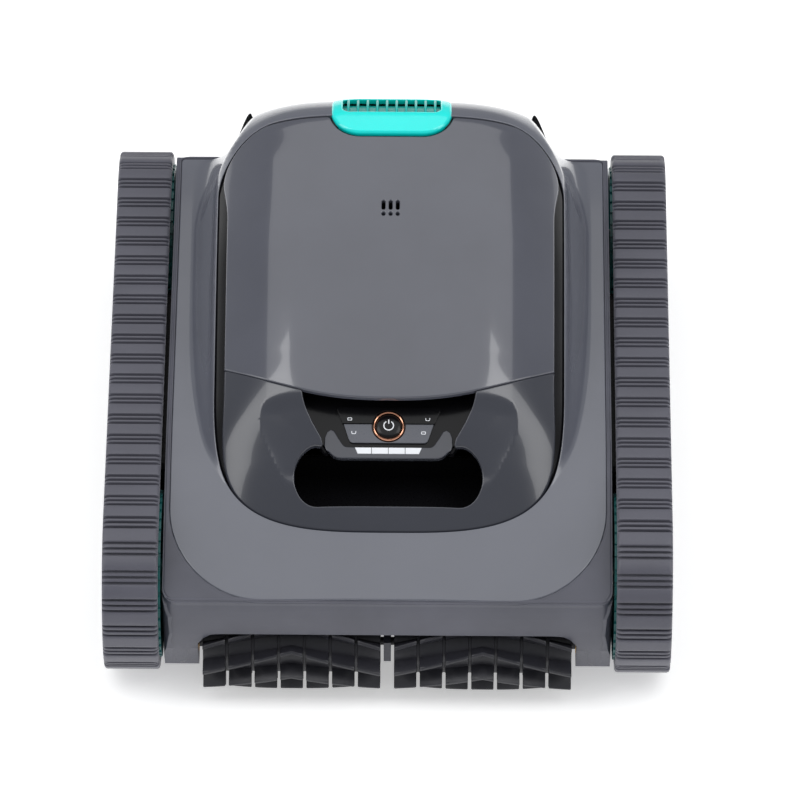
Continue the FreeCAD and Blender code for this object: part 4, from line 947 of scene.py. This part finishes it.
def build_brush(side):
    """Rubber blades in rings, their tips leaning towards the middle of the brush as one broken chevron."""
    pitch = (BRUSH_OUTER - BRUSH_INNER + SLIT) / RINGS
    middle = BRUSH_INNER + (RINGS * pitch - SLIT) / 2
    vertices, faces = [], []

    def ring_point(x, a, radius):
        return (side * x, BRUSH_Y + radius * math.cos(a), BRUSH_Z + radius * math.sin(a))

    sections = [(-0.115, 23.0), (-0.075, 28.0), (-0.05, 33.6), (-0.035, 34.7), (-0.012, 35.0), (0.012, 35.0),
                (0.035, 34.7), (0.05, 33.6), (0.075, 28.0), (0.115, 23.0)]
    for ring in range(RINGS):
        start = BRUSH_INNER + pitch * ring
        places = [start + (pitch - SLIT) * t for t in (0.0, 0.04, 0.27, 0.5, 0.73, 0.96, 1.0)]
        for k in range(BLADES):
            first = len(vertices)
            for number, x in enumerate(places):
                turn = math.radians(TWIST) * abs(x - middle) / pitch + 2 * math.pi * k / BLADES
                trim = 0.45 if number in (0, len(places) - 1) else 0.0
                vertices += [ring_point(x, turn + shift, radius - trim * (radius > 30)) for shift,
                             radius in sections]
            n = len(sections)
            for i in range(len(places) - 1):
                for j in range(n):
                    a, b = first + i * n + j, first + i * n + (j + 1) % n
                    faces.append([a, b, b + n, a + n][::-side])
            faces.append([first + j for j in range(n)][::side])
            faces.append([first + (len(places) - 1) * n + j for j in range(n)][::-side])
    name = "left" if side > 0 else "right"
    fins = make("blades_" + name, vertices, faces, smooth=40.0)
    dress(fins, "brush_" + name, "blade_rubber", stands_for=["brush_blades_" + name])
    profile = [(22.0, BRUSH_INNER), (22.0, BRUSH_OUTER), (22.9, BRUSH_OUTER), (23.4, BRUSH_OUTER - 0.5)]
    for ring in range(RINGS - 1, 0, -1):
        edge = BRUSH_INNER + pitch * ring
        profile += [(23.4, edge), (22.6, edge - 0.4), (22.6, edge - SLIT + 0.4), (23.4, edge - SLIT)]
    profile += [(23.4, BRUSH_INNER + 0.5), (22.9, BRUSH_INNER), (22.0, BRUSH_INNER)]
    along = Matrix.Translation(Vector((0.0, BRUSH_Y, BRUSH_Z)) * MM) @ Matrix.Rotation(side * math.pi / 2,
                                                                                       4, "Y")
    dress(turned("sleeve_" + name, profile, along), "brush_" + name, "blade_rubber")


build_brush(1)
build_brush(-1)


# ---------------------------------------------------------------- camera, lights, floor
def studio():
    reach = 30.0
    floor_mesh = bpy.data.meshes.new("floor")
    floor_mesh.from_pydata([(-reach, -reach, 0), (reach, -reach, 0), (reach, reach, 0), (-reach, reach, 0)],
                           [],
                           [(0, 1, 2, 3)])
    floor = bpy.data.objects.new("floor", floor_mesh)
    bpy.context.scene.collection.objects.link(floor)
    pale = finish("studio floor", (0.90, 0.90, 0.90), 0.9, bump=0.0, drift=0.004, wear=0.0)
    pale.node_tree.nodes["Principled BSDF"].inputs["Emission Color"].default_value = (1.0, 1.0, 1.0, 1.0)
    pale.node_tree.nodes["Principled BSDF"].inputs["Emission Strength"].default_value = 0.42
    floor_mesh.materials.append(pale)

    world = bpy.data.worlds.new("studio")
    world.use_nodes = True
    world.node_tree.nodes["Background"].inputs["Color"].default_value = (0.96, 0.98, 1.0, 1.0)
    world.node_tree.nodes["Background"].inputs["Strength"].default_value = 0.34
    bpy.context.scene.world = world
    bpy.context.scene.view_settings.view_transform = "Standard"

    def soft_box(name, at, aim, size, power):
        light = bpy.data.lights.new(name, "AREA")
        light.shape = "RECTANGLE"
        light.size, light.size_y = size
        light.energy = power
        lamp = bpy.data.objects.new(name, light)
        lamp.location = at
        lamp.rotation_euler = (Vector(aim) - Vector(at)).to_track_quat("-Z", "Y").to_euler()
        bpy.context.scene.collection.objects.link(lamp)

    soft_box("left", (-1.7, -0.5, 1.5), (0, 0, 0.1), (0.9, 2.4), 17.0)
    soft_box("right", (1.7, -0.5, 1.5), (0, 0, 0.1), (0.9, 2.4), 17.0)
    soft_box("above", (0.0, 0.6, 2.6), (0, 0.6, 0.1), (4.6, 3.6), 46.0)


def camera():
    """A long lens that looks down on the front from the photograph's viewing angle."""
    down, distance, raised = math.radians(49.2), 5.530, 0.051
    eye = bpy.data.cameras.new("camera")
    eye.sensor_width = 36.0
    eye.lens = 332.7
    eye.clip_start, eye.clip_end = 0.1, 100.0
    view = bpy.data.objects.new("camera", eye)
    place = Vector((0.0075, -distance * math.cos(down) + raised * math.sin(down),
                    distance * math.sin(down) + raised * math.cos(down)))
    orbit = Matrix.Rotation(math.radians(0.37), 4, "Z")
    tilt = Matrix.Rotation(math.pi / 2 - down, 4, "X")
    roll = Matrix.Rotation(math.radians(0.13), 4, "Z")
    view.matrix_world = orbit @ Matrix.Translation(place) @ tilt @ roll
    bpy.context.scene.collection.objects.link(view)
    bpy.context.scene.camera = view


studio()
camera()

bpy.context.view_layer.update()
